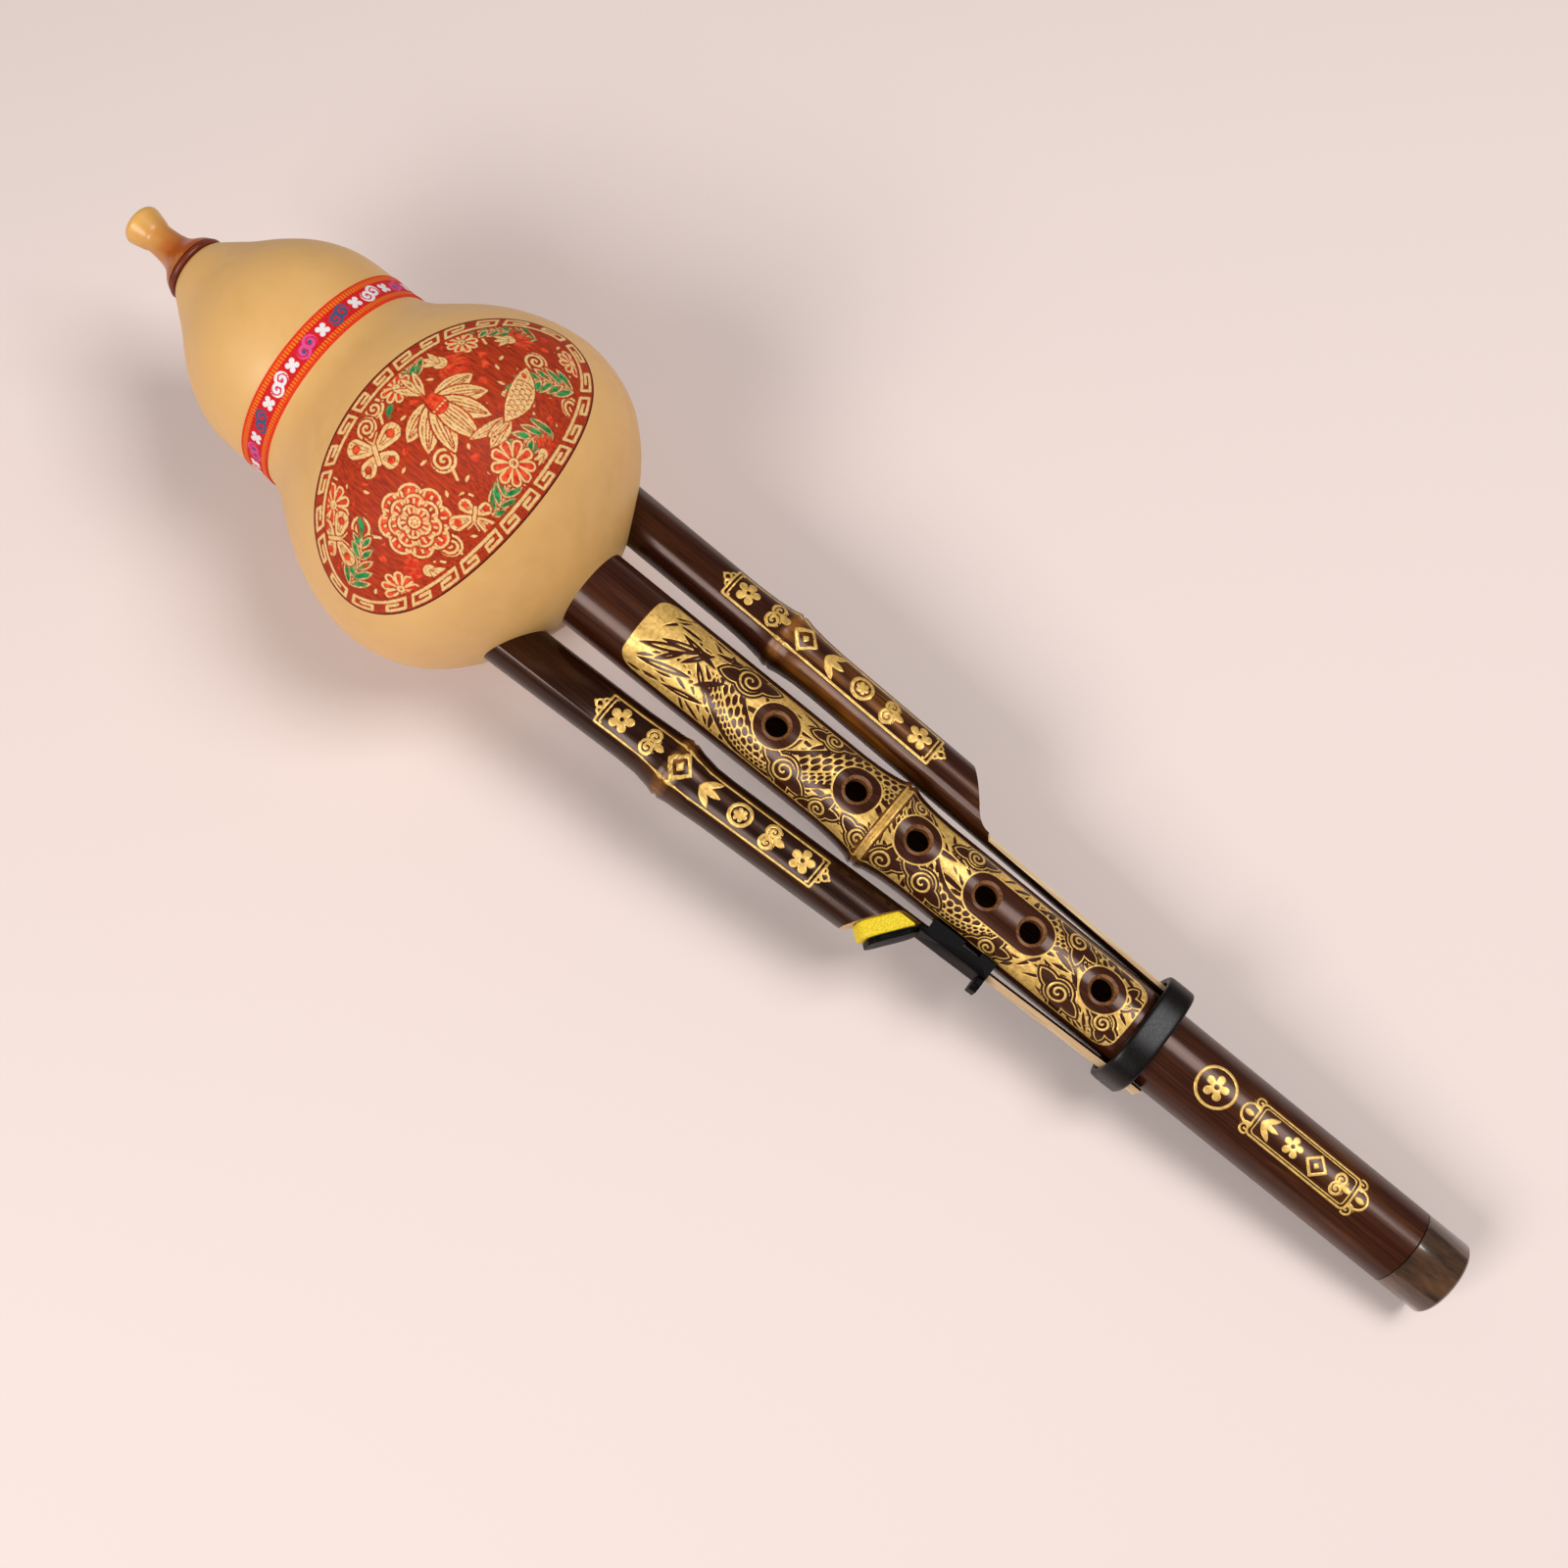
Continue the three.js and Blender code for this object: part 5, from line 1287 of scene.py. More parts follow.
class HULUSI_OT_main_pipe(bpy.types.Operator):
    """Makes the melody pipe with its node, bevelled finger holes and thumb hole"""

    bl_idname = "hulusi.main_pipe"
    bl_label = "Melody pipe"

    # A hole's window: half its length, and half its cells along and round the pipe
    HALF_WINDOW = 6.0
    CELLS = 8
    STATION_STEP = 2.0
    NODE_STEP = 0.4
    # The rings of a window, in shares of the way from its square edge in to the hole
    RING_SHARES = [1.0, 0.96, 0.85, 0.65, 0.4, 0.2]
    # The walls of a hole start at the bevel's foot and again just under it, which keeps that edge crisp
    THROAT = (0.0, 0.25)
    WARMTH = 0.35
    WARM_X = (366.0, 405.0)

    def execute(self, context):
        """The skin and the bore, joined at both ends, and at each hole by its bevel and wall."""
        sizes = context.scene.hulusi_pipes
        segments = sizes.segments
        holes = [(x, 0) for x in FINGER_HOLES_X] + [(THUMB_HOLE_X, segments // 2)]
        lines = self.lines(sorted(x for x, _ in holes))
        outer, outer_faces, outer_rims = self.skin(lines, segments, holes, main_radius, HOLE_R + HOLE_BEVEL)
        inner, inner_faces, inner_rims = self.skin(lines, segments, holes, self.bore_radius, HOLE_R)
        first = len(outer)
        points = [outer, inner]
        faces = [outer_faces, inner_faces[:, ::-1] + first]
        bare = [1]
        used = first + len(inner)
        for (x, turn), (rim, angle), (inner_rim, _) in zip(holes, outer_rims, inner_rims):
            facing = 1 if turn == 0 else -1
            n = len(angle)
            for deep in self.THROAT:
                level = np.full(n, float(main_radius(np.array(x))) - HOLE_BEVEL - deep)
                aside = HOLE_R * np.sin(angle)
                points.append(np.stack([x + HOLE_R * np.cos(angle), facing * aside, facing * level], -1))
            loops = [rim, used + np.arange(n), used + n + np.arange(n), first + inner_rim]
            for a, b in zip(loops, loops[1:]):
                bare.append(len(faces))
                faces.append(np.stack([a, np.roll(a, -1), np.roll(b, -1), b], -1))
            used += 2 * n
        for row in (0, len(lines) - 1):
            a = row * segments + np.arange(segments)
            faces.append(np.stack([a, np.roll(a, -1), first + np.roll(a, -1), first + a], -1))
        material = bamboo_lacquer(
            "smoked bamboo, lacquered", sizes.bamboo, MAIN_NODE_X, self.WARMTH, self.WARM_X)
        piece("main_pipe_bamboo", np.vstack(points), faces, [material, grained("bored bamboo, rubbed")], BODY,
              ["main_pipe"], 30, second=bare)
        return {"FINISHED"}

    def bore_radius(self, x):
        """The same radius all along."""
        return np.full(np.shape(x), MAIN_BORE_R)

    def lines(self, holes):
        """Stations along the pipe: even within each hole's window, and about a step apart elsewhere, with
        smaller steps at the node."""
        stops = [MAIN_X]
        for x in holes:
            stops += [x - self.HALF_WINDOW, x + self.HALF_WINDOW]
        stops.append(MAIN_END_X)
        found = []
        for k, (a, b) in enumerate(zip(stops, stops[1:])):
            near_node = abs((a + b) / 2 - MAIN_NODE_X) < NODE_REACH
            step = self.NODE_STEP if near_node else self.STATION_STEP
            count = 2 * self.CELLS if k % 2 else max(1, int(math.ceil((b - a) / step)))
            found.append(np.linspace(a, b, count + 1)[:-1])
        return np.concatenate(found + [[MAIN_END_X]])

    def skin(self, lines, segments, holes, radius_at, hole_r):
        """A tube on a grid, with a round hole in each window.

        In a window the rings go from the hole's circle, (x + h cos c, h sin c) seen along the hole, to the
        window's square edge, each ring a fixed share of the way in x and in angle.
        """
        cells = self.CELLS
        side = np.arange(-cells, cells)
        end = np.full(2 * cells, cells)
        # The square edge once round, in cells from the window's middle along the pipe and round it
        i = np.concatenate([end, -side, -end, side])
        k = np.concatenate([side, end, -side, -end])
        angles = even_angles(segments)
        x = np.repeat(lines, segments)
        a = np.tile(angles, len(lines))
        faces = grid_faces(len(lines), segments, closed_columns=True)
        keep = np.ones(len(faces), bool)
        row = np.repeat(np.arange(len(lines) - 1), segments)
        column = np.tile(np.arange(segments), len(lines) - 1)
        extra_x, extra_a, extra_faces, rims = [], [], [], []
        used = len(x)
        for hole_x, turn in holes:
            low = int(np.argmin(np.abs(lines - (hole_x - self.HALF_WINDOW))))
            off = (column - turn + segments // 2) % segments - segments // 2
            keep &= ~((row >= low) & (row < low + 2 * cells) & (off >= -cells) & (off < cells))
            square = (low + cells + i) * segments + (turn + k) % segments
            edge_x = lines[low + cells + i]
            edge_a = k * FULL_TURN / segments
            middle_r = float(radius_at(np.array(hole_x)))
            circle = np.arctan2(edge_a * middle_r, edge_x - hole_x)
            circle_x = hole_x + hole_r * np.cos(circle)
            circle_a = np.arcsin(hole_r * np.sin(circle) / radius_at(circle_x))
            n = len(circle)
            for share in self.RING_SHARES:
                extra_x.append(edge_x + share * (circle_x - edge_x))
                extra_a.append(angles[turn] + edge_a + share * (circle_a - edge_a))
            loops = [used + m * n + np.arange(n) for m in range(len(self.RING_SHARES))] + [square]
            for inner, outer in zip(loops, loops[1:]):
                extra_faces.append(np.stack([inner, outer, np.roll(outer, -1), np.roll(inner, -1)], -1))
            rims.append((loops[0], circle))
            used += len(self.RING_SHARES) * n
        x = np.concatenate([x] + extra_x)
        a = np.concatenate([a] + extra_a)
        return about_axis(x, radius_at(x), a), np.vstack([faces[keep]] + extra_faces), rims


class HULUSI_OT_side_pipes(bpy.types.Operator):
    """Finishes the two side pipes: lacquered skin, bare bamboo where the knife cut"""

    bl_idname = "hulusi.side_pipes"
    bl_label = "Side pipes"

    SKIN_DEPTH = 0.3
    # Node, pipe, how much amber and how light, and the two places between which the amber lies
    PIPES = [
        ("left_drone_pipe", LEFT, 0.3, 0.4, (198.0, 212.0)),
        ("right_side_pipe", RIGHT, 0.9, 0.85, (203.0, 246.0))]

    def execute(self, context):
        sizes = context.scene.hulusi_pipes
        bare = grained("cut bamboo, bare")
        for node, pipe, warmth, shade, warm_x in self.PIPES:
            bamboo = [c * shade for c in sizes.bamboo]
            lacquer = bamboo_lacquer(f"smoked bamboo of the {node}", bamboo, SIDE_NODE_X, warmth, warm_x)
            made = finished(
                node + "_bamboo", merged_copy(node), [lacquer, bare], BODY, [node], 35)
            self.mark_cuts(made.data.polygons, pipe)
        return {"FINISHED"}

    def mark_cuts(self, polygons, pipe):
        """Faces whose middle lies inside the pipe's own round are cut faces, and take the bare bamboo."""
        centres = np.zeros(len(polygons) * 3)
        polygons.foreach_get("center", centres)
        row_x, y, row_z = (centres.reshape(-1, 3) / MM - SHIFT).T
        x, z = tilted(row_x, row_z, -TILT)
        axis_y, axis_z, r = side_axis(pipe, x)
        cut = np.hypot(y - axis_y, z - axis_z) < r - self.SKIN_DEPTH
        polygons.foreach_set("material_index", cut.astype(np.int32))


class HULUSI_OT_gilding(bpy.types.Operator):
    """Lays the gold: the engraved panel of the melody pipe, both side pipes' frames, and the round mark and
    the cartouche below the ring, all with generic ornament"""

    bl_idname = "hulusi.gilding"
    bl_label = "Gilding"

    PROUD = 0.05
    SUNK = -0.12
    SLOPE = 0.55
    # Past the drawing, the grid goes on by these along and round the pipe, and the sheet by the last
    MARGIN_ALONG = 0.5
    MARGIN_AROUND = 0.4
    SHEET_MARGIN = 0.45

    # The melody pipe's panel: its ends, half width, turn round the pipe and the skin's radius
    PANEL_X = (172.75, 329.9)
    PANEL_HALF = 11.75
    PANEL_CORNER = 5.0
    PANEL_RIM = 0.5
    PANEL_DEG = -10.0
    PANEL_R = 11.2
    HOLES_Q = math.radians(-PANEL_DEG) * PANEL_R
    # The bare ground round a hole, with a dark line at its edge. Holes 4 and 5 share one
    BALD_R = 6.1
    BALD_RIM = 0.55
    LONE_HOLES = (0, 1, 2, 5)
    # The winding band: length of a wave, swing, middle, half width and how much that varies
    BAND_WIND = 62.0
    BAND_SWING = 8.2
    BAND_MIDDLE = 0.5
    BAND_HALF = 4.4
    BAND_HALF_SWING = 0.7
    BAND_X = (196, 322)
    BAND_LINE_HALF = 0.45
    # Pitch, the shares of the band's half width between which they lie, and radius
    SCALES = [(2.3, -0.2, 1.0, 0.78), (1.5, -1.0, -0.2, 0.46)]
    SCALE_ROW_SHARE = 0.8
    SCALE_GAP = 0.35
    # Flames and blades of grass take these leans, lengths and widths in turn
    FLAMES = 26
    FLAME_PITCH = 4.9
    FLAME_LEANS = (28, 37, 46)
    FLAME_LENGTHS = (5.2, 6.3, 7.4, 8.5)
    FLAME_WIDTH = 1.25
    FLAME_OFF_BAND = 0.3
    FLAME_ROOM = 0.35
    BLADES = 230
    BLADE_LENGTHS = (4.0, 4.9, 5.8, 6.7, 7.6)
    BLADE_WIDTHS = (0.7, 0.78, 0.86)
    BLADE_MARGINS = (3, 1)
    BLADE_ROOM = 0.6
    # Steps of two low-discrepancy sequences, which spread the blades of grass evenly
    BLADE_STEPS = (0.6180340, 0.7548777)
    RIDGE_PAST_NODE = 0.2
    RIDGE_HALF = 1.7
    RIDGE_LINES_AT = 1.5
    RIDGE_LINE_HALF = 0.3
    # Foot, turn, length and width of the long strokes near both ends
    STROKES = [
        (175.5, -3.4, 26, 15, 2.0), (177.0, -7.2, 18, 15, 1.8), (179.5, 0.6, 20, 14, 1.7),
        (183.0, 5.2, -10, 12, 1.7), (186.0, -9.0, 14, 12, 1.5), (190.0, 1.8, -40, 9, 1.5),
        (181.0, -4.6, 48, 8, 1.4), (187.0, -1.2, 52, 9, 1.4), (193.0, -3.5, 40, 8, 1.3),
        (192.5, 7.0, 18, 9, 1.4), (197.0, 9.2, 6, 10, 1.2), (303.5, -1.5, -20, 9, 1.4),
        (304.5, 2.4, 14, 9, 1.2), (312.0, 0.4, -60, 7, 1.2), (322.5, -8.4, 30, 6, 1.3),
        (321.0, 10.0, -24, 6, 1.2), (314.0, -2.6, 24, 8, 1.3), (306.0, -9.0, -12, 9, 1.2)]
    # A cloud's disc, its lobes' turns, length and width, and its scroll's pitch
    CLOUD_R = 3.7
    CLOUD_LOBES = (20, 70, 200)
    CLOUD_LOBE_LENGTH = 7.6
    CLOUD_LOBE_WIDTH = 3.6
    CLOUD_SCROLL = 1.9
    # Middle, hand and size of the dark clouds
    CLOUDS = [
        (203.5, 7.0, 1, 1.1), (224.0, -6.2, -1, 1.05), (229.5, 9.4, 1, 0.85), (236.5, -9.0, 1, 0.8),
        (249.0, -7.6, -1, 0.85), (257.0, -8.4, 1, 0.95), (268.5, -6.4, -1, 1.0), (275.5, 9.0, 1, 0.85),
        (291.0, -9.2, 1, 0.8), (308.0, 8.8, -1, 0.9), (311.5, -6.2, -1, 1.0), (325.0, 3.5, 1, 0.7),
        (257.0, 9.6, -1, 0.7), (324.6, -5.0, -1, 0.75)]

    ROUND_MARK_X = 355.7
    STROKE_HALF = 0.36
    # Each frame's half length, its ornaments in order, their pitch and their size
    FRAME_HALF = 34.3
    FRAME_ENDS_HALF = 33.1
    FRAME_ENDS_REACH = 0.8
    FRAME_MOTIFS = ((0, 3, 1, 2, 4, 3, 0), 9.6, 1.25)
    CROWN_SIZE = 0.7
    # Middle and radius of a crown's rings
    CROWN_RINGS = [(0.4, 1.9, 1.3), (0.4, -1.9, 1.3), (1.9, 0, 1.5)]
    CROWN_STROKE_HALF = 0.33
    CARTOUCHE_X = 382.55
    CARTOUCHE_HALF = 15.0
    CARTOUCHE_ENDS_REACH = 0.4
    CARTOUCHE_MOTIFS = ((2, 0, 1, 3), 7.2, 1.05)

    def execute(self, context):
        """Each drawing with its ends, half width, turn round the pipe and the skin's radius there."""
        sizes = context.scene.hulusi_pipes
        paint = gold_paint(sizes.gold)
        left, right = partial(on_side, LEFT), partial(on_side, RIGHT)
        for name, draw, carrier, x0, x1, half, degrees, radius in (
                ("main_pipe_panel", self.panel, on_main, *self.PANEL_X, self.PANEL_HALF, self.PANEL_DEG,
                 self.PANEL_R),
                ("round_mark", self.round_mark, on_main, 349.0, 362.0, 6.6, -6.0, 10.8),
                ("cartouche", self.cartouche, on_main, 362.0, 403.1, 5.7, -3.5, 10.7),
                ("left_frame", self.side_frame, left, 172.0, 254.5, 5.3, -3.0, 7.2),
                ("right_frame", self.side_frame, right, 175.5, 257.0, 5.3, 14.0, 7.2)):
            p, q = drawing_grid(x0, x1, half, self.MARGIN_ALONG, self.MARGIN_AROUND, sizes.gilding_step)
            self.inlay(name, carrier, p, math.radians(degrees) + q / radius, draw(p, q), paint)
        return {"FINISHED"}

    def inlay(self, name, carrier, p, angle, gold, paint):
        """A sheet that stands proud of the pipe where it is gold and dips under the skin elsewhere, so the
        pipe's own lacquer shows through: lift follows the drawing's signed distance, held at both ends."""
        lift = np.clip(-gold * self.SLOPE, self.SUNK, self.PROUD)
        sheet(name, carrier(p, angle, lift), gold, self.SHEET_MARGIN, paint)

    def band(self, p):
        """Middle, slope and half width of the winding band at p, from the first hole on: the middle is
        m - swing cos(2 pi p / wind), and the half width follows the same wave."""
        turn = FULL_TURN * (p - FINGER_HOLES_X[0]) / self.BAND_WIND
        slope = self.BAND_SWING * FULL_TURN / self.BAND_WIND * np.sin(turn)
        middle = self.BAND_MIDDLE - self.BAND_SWING * np.cos(turn)
        return middle, slope, self.BAND_HALF - self.BAND_HALF_SWING * np.cos(turn)

    def panel(self, p, q):
        """A scaled band that winds past the holes through clouds, flames and grass, dark lines on gold."""
        low, high = self.PANEL_X
        field = rounded_box(p, q, (low + high) / 2, 0, (high - low) / 2, self.PANEL_HALF, self.PANEL_CORNER)
        holes = FINGER_HOLES_X
        bald = union(
            bar(p, q, holes[3], self.HOLES_Q, holes[4], self.HOLES_Q, self.BALD_R),
            *(disc(p, q, holes[k], self.HOLES_Q, self.BALD_R) for k in self.LONE_HOLES))
        centre, slope, wide = self.band(p)
        off = (q - centre) / np.sqrt(1 + slope**2)
        lines = self.scales(p, off, wide)
        lines = self.flames(p, q, lines, wide - np.abs(off))
        for stroke in self.STROKES:
            lines = union(lines, self.hollow(petal(p, q, *stroke)))
        for cloud in self.CLOUDS:
            lines = self.cloud(p, q, lines, *cloud)
        lines = self.grass(p, q, lines)
        # The node's ridge stays gold between two lines, and the panel's edge keeps a narrow gold rim
        ridge = np.abs(p - MAIN_NODE_X - self.RIDGE_PAST_NODE)
        ridge_lines = outline(ridge - self.RIDGE_LINES_AT, self.RIDGE_LINE_HALF)
        lines = np.where(ridge < self.RIDGE_HALF, ridge_lines, lines)
        lines = overlap(lines, field + self.PANEL_RIM, self.BALD_RIM - bald)
        return overlap(field, 0.1 - lines, -bald)

    def hollow(self, shape):
        """A shape's edge as a dark line half a millimetre wide, inside it."""
        return overlap(shape, -(shape + 0.5))

    def scales(self, p, off, wide):
        """Round scales, coarse at the band's back and fine at its belly, between the lines of its edges."""
        ends = np.maximum(self.BAND_X[0] - p, p - self.BAND_X[1])
        share = off / wide
        lines = overlap(outline(np.abs(off) - wide, self.BAND_LINE_HALF), ends)
        for pitch, low, high, size in self.SCALES:
            along, across = staggered(p, off, pitch, pitch * self.SCALE_ROW_SHARE)
            part = np.maximum(low - share, share - high) * wide + self.SCALE_GAP
            lines = union(lines, overlap(disc(along, across, 0, 0, size), part, ends))
        return lines

    def flames(self, p, q, lines, inside):
        """Flames that lean back from both edges of the band, where there is room."""
        for k in range(self.FLAMES):
            foot = self.BAND_X[0] + self.FLAME_PITCH * k
            middle, slope, wide = self.band(foot)
            for sign in (-1, 1):
                lean = math.degrees(math.atan(slope)) + sign * self.FLAME_LEANS[k % 3]
                foot_q = middle + sign * (wide + self.FLAME_OFF_BAND)
                flame = petal(p, q, foot, foot_q, lean, self.FLAME_LENGTHS[k % 4], self.FLAME_WIDTH)
                flame = np.maximum(flame, inside + self.FLAME_OFF_BAND)
                lines = scattered(lines, flame, lines, self.FLAME_ROOM)
        return lines

    def cloud(self, p, q, lines, cp, cq, hand, size):
        """A dark cloud of a disc and three lobes with a gold scroll in it, and a line round it."""
        length, width = self.CLOUD_LOBE_LENGTH * size, self.CLOUD_LOBE_WIDTH * size
        cloud = union(
            disc(p, q, cp, cq, self.CLOUD_R * size),
            *(petal(p, q, cp, cq, hand * turn, length, width) for turn in self.CLOUD_LOBES))
        gold = union(spiral(p, q, cp, cq, self.CLOUD_SCROLL * size, 1.4, 0.42, 0.6, hand), -cloud - 0.2)
        drawn = union(overlap(cloud, -gold), outline(cloud - 0.55, 0.22))
        return np.where(cloud < 1.0, drawn, lines)

    def grass(self, p, q, lines):
        """Short blades wherever the gold is still bare, up to 25 degrees off the band's way."""
        low, high = self.PANEL_X
        margin_p, margin_q = self.BLADE_MARGINS
        for k in range(self.BLADES):
            share, share_around = [k * step % 1 for step in self.BLADE_STEPS]
            cp = low + margin_p + share * (high - low - 2 * margin_p)
            cq = (share_around * 2 - 1) * (self.PANEL_HALF - margin_q)
            lean = math.degrees(math.atan(self.band(cp)[1])) + (k * 47) % 50 - 25
            blade = petal(p, q, cp, cq, lean, self.BLADE_LENGTHS[k % 5], self.BLADE_WIDTHS[k % 3])
            lines = scattered(lines, blade, lines, self.BLADE_ROOM)
        return lines

    def round_mark(self, p, q):
        """A blossom in a ring."""
        at = self.ROUND_MARK_X
        blossom = overlap(flower(p, q, at, 0, 5, 3.4, 2.2, 18), -disc(p, q, at, 0, 0.65))
        return union(ring(p, q, at, 0, 5.2, 0.4), blossom)

    def motif(self, p, q, kind):
        """One of five plain ornaments about 5 mm across: a blossom, nested diamonds, three leaves, a leaf
        between two scrolls, and a small blossom in a ring."""
        half = self.STROKE_HALF
        if kind == 0:
            return overlap(flower(p, q, 0, 0, 5, 2.7, 1.8, 90), -disc(p, q, 0, 0, 0.5))
        if kind == 1:
            diamond = overlap(*(np.abs(a) for a in turned_by(p, q, 0, 0, 45)))
            return union(outline(diamond - 1.9, half), diamond - 0.6)
        if kind == 2:
            return union(*(petal(p, q, -2.4, 0, turn, 5.0, 1.5) for turn in (38, 0, -38)))
        if kind == 3:
            scrolls = [spiral(p, q, -0.2, 1.3 * hand, 1.1, 1.3, half, 0.0, hand) for hand in (1, -1)]
            return union(*scrolls, petal(p, q, 0.6, 0, 0, 2.6, 1.5))
        return union(ring(p, q, 0, 0, 2.3, half), flower(p, q, 0, 0, 6, 1.5, 0.9))

    def motif_row(self, p, q, middle, kinds, pitch, size):
        """Ornaments in a row, a pitch apart, about a middle."""
        at = [middle + (k - (len(kinds) - 1) / 2) * pitch for k in range(len(kinds))]
        return union(*(self.motif((p - x) / size, q / size, kind) * size for x, kind in zip(at, kinds)))

    def side_frame(self, p, q):
        """A frame, double-lined at its ends, with a small crown at each end and seven ornaments in a row."""
        middle = (p.min() + p.max()) / 2
        inner = outline(rounded_box(p, q, middle, 0, self.FRAME_ENDS_HALF, 3.7, 0.2), 0.18)
        at_ends = np.abs(np.abs(p - middle) - self.FRAME_ENDS_HALF) < self.FRAME_ENDS_REACH
        found = union(
            outline(rounded_box(p, q, middle, 0, self.FRAME_HALF, 4.5, 0.2), 0.27),
            np.where(at_ends, inner, FAR), self.motif_row(p, q, middle, *self.FRAME_MOTIFS))
        for sign in (-1, 1):
            a, b = ((p - middle) * sign - self.FRAME_HALF) / self.CROWN_SIZE, q / self.CROWN_SIZE
            rings = [ring(a, b, *each, self.CROWN_STROKE_HALF) for each in self.CROWN_RINGS]
            crown = union(*rings, disc(a, b, 3.9, 0, 0.5)) * self.CROWN_SIZE
            found = union(found, np.where(a > 0, crown, FAR))
        return found

    def cartouche(self, p, q):
        """A scroll-ended frame round four ornaments."""
        middle, half = self.CARTOUCHE_X, self.CARTOUCHE_HALF
        found = union(
            outline(rounded_box(p, q, middle, 0, half, 4.6, 1.4), 0.28),
            outline(rounded_box(p, q, middle, 0, half - 1.0, 3.8, 1.0), 0.15),
            self.motif_row(p, q, middle, *self.CARTOUCHE_MOTIFS))
        for sign in (-1, 1):
            a = (p - middle) * sign - half
            scrolls = [spiral(a, q, 0.6, 3.7 * hand, 1.15, 1.3, 0.28, 0.0, hand) for hand in (-1, 1)]
            ends = union(*scrolls, ring(a, q, 1.3, 0, 2.6, 0.3), petal(a, q, 0.5, 0, 0, 2.8, 1.5))
            found = union(found, np.where(a > -self.CARTOUCHE_ENDS_REACH, ends, FAR))
        return found


class HULUSI_OT_ring(bpy.types.Operator):
    """Moulds the rubber clamp ring"""

    bl_idname = "hulusi.ring"
    bl_label = "Clamp ring"

    AROUND = 160
    SECTION = 40
    # How square the section's two sides are: powers under 1 fill out its corners
    ACROSS_POWER = 0.5
    ALONG_POWER = 0.3

    def execute(self, context):
        """An oval (a cos^k, b sin^k) carried from its inner to its outer size and along the ring's length
        by a section of the same kind."""
        around = even_angles(self.AROUND)
        section = even_angles(self.SECTION) + math.pi / self.SECTION
        power = 2 / RING_ROUNDNESS

        def oval(half_width, half_height):
            return np.stack([half_width * self.signed_power(np.cos(around), power),
                             half_height * self.signed_power(np.sin(around), power)], -1)

        inner = oval(RING_HALF_WIDTH, RING_HALF_HEIGHT)
        outer = oval(RING_HALF_WIDTH + RING_WALL, RING_HALF_HEIGHT + RING_WALL)
        across = 0.5 + 0.5 * self.signed_power(np.cos(section), self.ACROSS_POWER)
        along = RING_LENGTH / 2 * self.signed_power(np.sin(section), self.ALONG_POWER)
        yz = inner[None] + across[:, None, None] * (outer - inner)[None]
        x = np.repeat(RING_X + RING_LENGTH / 2 + along, self.AROUND)
        points = np.stack([x, yz[..., 0].ravel() + RING_OFFSET, yz[..., 1].ravel()], -1)
        faces = [grid_faces(self.SECTION, self.AROUND, closed_columns=True, closed_rows=True)]
        rubber = grained("moulded rubber, satin")
        piece("clamp_ring_moulded", points, faces, [rubber], BODY, ["clamp_ring"], 60)
        return {"FINISHED"}

    def signed_power(self, value, power):
        """A power of a value's size, with the value's sign."""
        return np.sign(value) * np.abs(value) ** power


class HULUSI_OT_tail_ring(bpy.types.Operator):
    """Turns the horn ring at the pipe's tail"""

    bl_idname = "hulusi.tail_ring"
    bl_label = "Tail ring"

    SPIGOT = 8
    EDGE = 0.15
    # How far the chamfer's edges are rounded off, along and in
    CHAMFER_EASE = (0.2, 0.08)
    BORE_CHAMFER = 0.4
    SEGMENTS = 128

    def execute(self, context):
        """From the spigot's inner end out along the skin, over the chamfered end and back to the bore."""
        end = TAIL_X + TAIL_LENGTH
        spigot_x, spigot_r = TAIL_X - self.SPIGOT, MAIN_BORE_R - FIT
        along, inward = self.CHAMFER_EASE
        profile = [
            (spigot_x, TAIL_BORE_R), (spigot_x, spigot_r), (TAIL_X, spigot_r),
            (TAIL_X, MAIN_END_R - self.EDGE), (TAIL_X + self.EDGE, MAIN_END_R),
            (end - TAIL_CHAMFER - along, MAIN_END_R), (end - TAIL_CHAMFER, MAIN_END_R - inward),
            (end - inward, MAIN_END_R - TAIL_CHAMFER), (end, MAIN_END_R - TAIL_CHAMFER - self.EDGE),
            (end, TAIL_BORE_R + self.BORE_CHAMFER), (end - self.BORE_CHAMFER, TAIL_BORE_R)]
        turned_piece("tail_ring_turned", profile, self.SEGMENTS, horn(), ["tail_ring"], 30)
        return {"FINISHED"}


